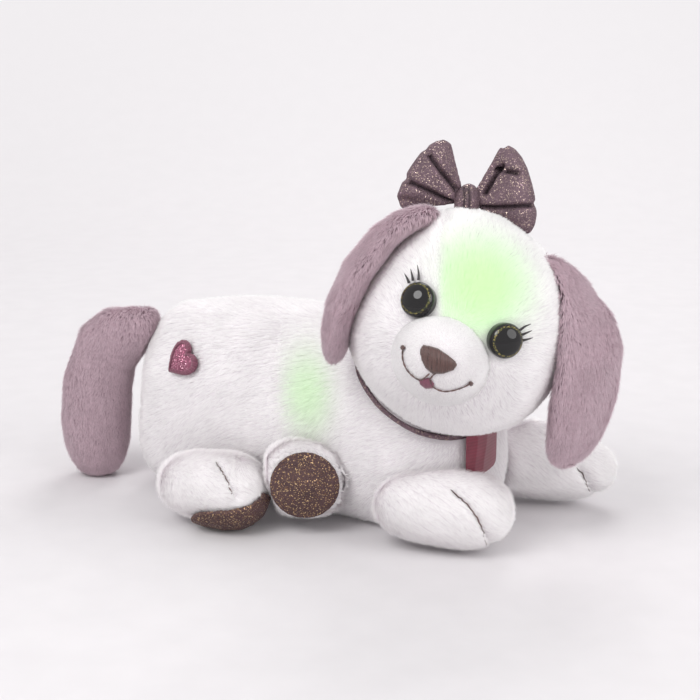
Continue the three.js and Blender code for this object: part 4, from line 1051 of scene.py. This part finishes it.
# Bow: two gathered loops, each with the lines of its folds, drawn in and darkened with painted shade, and the notches
# of its outline, and the knot
bowLoops = {
    "bow_right_loop": {
        "folds": [[(350, 230), (440, 350), (540, 470)], [(230, 400), (380, 470), (520, 545)]],
        "notches": [((428, 151), (1.3, -1.7)), ((406, 179), (2.0, -0.6)), ((399, 195), (-0.8, -0.2))],
    },
    "bow_left_loop": {
        "folds": [[(640, 560), (820, 555), (990, 540)], [(690, 470), (740, 370), (790, 300)], [(760, 325), (890, 345)]],
        "notches": [((486, 160), (1.4, -0.6)), ((537, 204), (-1.3, 0.2)), ((504, 147), (0.6, -1.2))],
    },
}
bowLook = ("head", "rose_glitter_fabric", roseGlitter)
bow = {name: soften(name + "_cloth", name, 0.9, 5) for name in bowLoops}
knot = swell(soften("bow_knot_cloth", "bow_knot", 0.7, 3), 1.0)
for name, facts in bowLoops.items():
    for line in facts["folds"]:
        for depthMm, facing in ((4.0, 1), (2.0, -1)):
            crease(bow[name], [bowPixel(*p) for p in line], 1.3, depthMm, facing)
    for spot, way in facts["notches"]:
        nudge(bow[name], [spot, spot], 2.0, *way)
    pad(bow[name], bowLook, name)
for line in ([(560, 430), (566, 500), (560, 570)], [(590, 430), (600, 500), (596, 560)]):
    crease(knot, [bowPixel(*p) for p in line], 1.0, 0.9)
pad(knot, bowLook, "bow_knot")
print("patches, collar and bow made")

# Ears and tail
ears = {
    "right_ear": {"hairs": 62000, "comb": (-0.25, -0.1, -1)},
    "left_ear": {"hairs": 80000, "comb": (0.1, -0.1, -1)},
}
earFacts = {
    "voxelMm": 1.8, "rounds": 5, "swellMm": -0.7, "fill": 0.45,
    "pile": {"lengthMm": 5.2, "widthMm": 0.44, "lean": 1.9, "wave": 0.28, "waveMm": 26, "tuftMm": 3.2, "tuft": 0.22,
             "loose": 0.26, "relief": 0.2, "bend": True},
}
earSkins = {name: skinOf(name, earFacts) for name in ears}
nudge(earSkins["left_ear"], [(556, 243), (578, 254), (600, 285)], 14.0, -2.5, -6.0)
tailFacts = {
    "voxelMm": 1.8, "rounds": 5, "swellMm": -1.6, "fill": 0.7, "comb": (-0.1, 0.0, -1),
    "pile": dict(earFacts["pile"], hairs=72000, seed=41),
}
tail = skinOf("tail", tailFacts)
nudge(tail, [(128, 300), (134, 300)], 10.0, 0.0, -3.0)
nudge(tail, [(157, 316), (162, 318)], 8.0, 1.5, 3.0)

# What each pile keeps clear of. It is also shorter where an ear, the tail or a leg comes near its neighbour at the
# end of its travel.
eyeBars = [barrier(rightEye, 1.0, 8.0, 0.3), barrier(leftEye, 1.0, 8.0, 0.3)]
faceBars = eyeBars + [barrier(muzzle, -1.0, 7.0, 0.4), barrier(collar, 1.8, 9.0, 0.15)]
stitchBars = [barrier(nose, 0.9, 2.5, 0.4), barrier(mouth, 0.5, 1.6, 0.4), barrier(tongue, 0.3, 1.5, 0.4)]
bodyBars = [barrier(collar, 1.8, 9.0, 0.15), barrier(tag, 1.0, 3.5, 0.4), barrier(heart, 0.9, 3.5, 0.4),
            barrier(tail, 0.3, 5.0, 0.45), barrier(limbSkins["left_hind_leg"], 0.5, 5.0, 0.35)]
bowBars = [barrier(bow["bow_right_loop"], 2.0, 22.0, 0.3)]
limbBars = [barrier(rightSole, 0.6, 5.0, 0.5), barrier(leftSole, 1.2, 7.0, 0.2), barrier(tag, 1.5, 5.0, 0.3)]
tailBars = [barrier(torso, 0.3, 5.0, 0.4)]

torsoLook = ("body", "cream_plush", creamPile)
headLook = ("head", "cream_plush", creamPile)
muzzleLook = ("head", "white_velvet", velvetPile)
tailLook = ("tail", "taupe_plush", taupePile)
pad(torso, torsoLook, "torso")
pad(head, headLook, "head")
pad(muzzle, muzzleLook, "muzzle")
pad(tail, tailLook, "tail")
for name, skin in earSkins.items():
    pad(skin, (name, "taupe_plush", taupePile), name)
for name, skin in limbSkins.items():
    pad(skin, (name, "cream_plush", creamPile), name)
for skin, spot, tree in ((torso, glows["torso"], torsoTree), (head, glows["head"], headTree)):
    writeFloat(skin.data, "glow", glowAt(arrays(skin.data)[0], spot, tree))

backAndDown = towards(-bodyAhead.x, -bodyAhead.y, -0.55)
aheadAndDown = towards(bodyAhead.x, bodyAhead.y, -0.4)
growPile("torso_pile", torso, torsoFacts["pile"], backAndDown, torsoLook, bodyBars, spot=glows["torso"])
growPile("head_pile", head, headFacts["pile"], outFrom(faceMiddle, 75), headLook, faceBars,
         [(headFacts["seam"], 2.0)], glows["head"])
growPile("muzzle_pile", muzzle, muzzleFacts["pile"], outFrom(faceMiddle), muzzleLook, stitchBars)
for k, (name, skin) in enumerate(limbSkins.items()):
    facts = dict(limbFacts["pile"], hairs=limbs[name]["hairs"], seed=21 + k)
    growPile(name + "_pile", skin, facts, aheadAndDown, (name, "cream_plush", creamPile), limbBars,
             [(line, 2.2) for line in limbs[name]["toes"]])
for k, (name, skin) in enumerate(earSkins.items()):
    facts = dict(earFacts["pile"], hairs=ears[name]["hairs"], seed=31 + k)
    growPile(name + "_pile", skin, facts, towards(*ears[name]["comb"]), (name, "taupe_plush", taupePile), bowBars)
growPile("tail_pile", tail, tailFacts["pile"], towards(*tailFacts["comb"]), tailLook, tailBars)

# Embroidered toe lines
for name, facts in limbs.items():
    if facts["toes"]:
        strands = []
        for line in facts["toes"]:
            strands += stitchLine(treeOf(limbSkins[name]), line, 8.0, 0.42, 1.2)
        tubes(name + "_toe_stitches", strands, 6, (name, "brown_embroidery", brownThread))
print("pile grown")

# Studio: a pale sweep, and soft lamps at a level where a colour renders about as written
studio = {
    "key": {"place": (-0.9, -1.1, 1.5), "size": 1.1, "power": 17.5},
    "fill": {"place": (1.3, -0.9, 0.8), "size": 1.2, "power": 9.0},
    "rim": {"place": (0.3, 1.2, 1.3), "size": 1.0, "power": 9.0},
    "world": 0.73,
    "floor": "#dddadc",
    "backdrop": "#f3f0f2",
}


def makeLamp(name, facts):
    lamp = bpy.data.lights.new(name, "AREA")
    lamp.shape = "DISK"
    lamp.size = facts["size"]
    lamp.energy = facts["power"]
    piece = addObject(name, lamp)
    piece.location = facts["place"]
    way = Vector((0, 0, 0.1)) - Vector(facts["place"])
    piece.rotation_euler = way.to_track_quat("-Z", "Y").to_euler()


def seenRays(tree):
    # 1 for what the camera sees, straight or in gloss or through glass, and 0 for the light itself
    rays = addNode(tree, "ShaderNodeLightPath", None)
    both = addNode(tree, "ShaderNodeMath", operation="MAXIMUM", _0=rays["Is Camera Ray"], _1=rays["Is Glossy Ray"])
    return addNode(tree, "ShaderNodeMath", operation="MAXIMUM", _0=both, _1=rays["Is Transmission Ray"])


def makeFloor():
    material, tree, shader, place = startMaterial("painted_studio_sweep")
    grain = addNode(tree, "ShaderNodeTexNoise", "Fac", Vector=place, Scale=40.0, Detail=2.0)
    plug(shader, Base_Color=ramp(tree, grain, [(0.3, "#dad7d9"), (0.7, studio["floor"])]), Roughness=0.9)
    # Beyond the lamps' reach the floor fades into the even pale backdrop.
    reach = addNode(tree, "ShaderNodeVectorMath", "Value", operation="LENGTH", _0=place)
    far = addNode(tree, "ShaderNodeMapRange", Value=reach, From_Min=0.7, From_Max=1.8)
    share = addNode(tree, "ShaderNodeMath", operation="MULTIPLY", _0=far, _1=seenRays(tree))
    plain = addNode(tree, "ShaderNodeEmission", Color=toLinear(studio["backdrop"]), Strength=1.0)
    both = addNode(tree, "ShaderNodeMixShader", _0=share, _1=shader.outputs[0], _2=plain)
    plug(nodeOf(tree, "OUTPUT_MATERIAL"), Surface=both)
    across, front, back, high, bend = 6.0, -3.0, 0.9, 3.0, 0.8
    profile = [(front, 0.0), (back, 0.0)]
    profile += [(back + bend * sin(a * pi / 24), bend * (1 - cos(a * pi / 24))) for a in range(1, 13)]
    profile += [(back + bend, high)]
    points = [(x, y, z) for x in (-across, across) for y, z in profile]
    n = len(profile)
    mesh = bpy.data.meshes.new("studio_sweep")
    mesh.from_pydata(points, [], [(i, i + n, i + n + 1, i + 1) for i in range(n - 1)])
    smooth(mesh)
    mesh.materials.append(material)
    floor = addObject("studio_sweep", mesh)


makeFloor()
for name in ("key", "fill", "rim"):
    makeLamp(name + "_lamp", studio[name])
world = bpy.data.worlds.new("studio_world")
world.use_nodes = True
sky = world.node_tree
ambient = nodeOf(sky, "BACKGROUND")
plug(ambient, Color=toLinear("#ffffff"), Strength=studio["world"])
backdrop = addNode(sky, "ShaderNodeBackground", Color=toLinear(studio["backdrop"]), Strength=1.0)
both = addNode(sky, "ShaderNodeMixShader", _0=seenRays(sky), _1=ambient.outputs[0], _2=backdrop)
plug(nodeOf(sky, "OUTPUT_WORLD"), Surface=both)
bpy.context.scene.world = world
bpy.context.scene.view_settings.view_transform = "Standard"
print("studio lit")
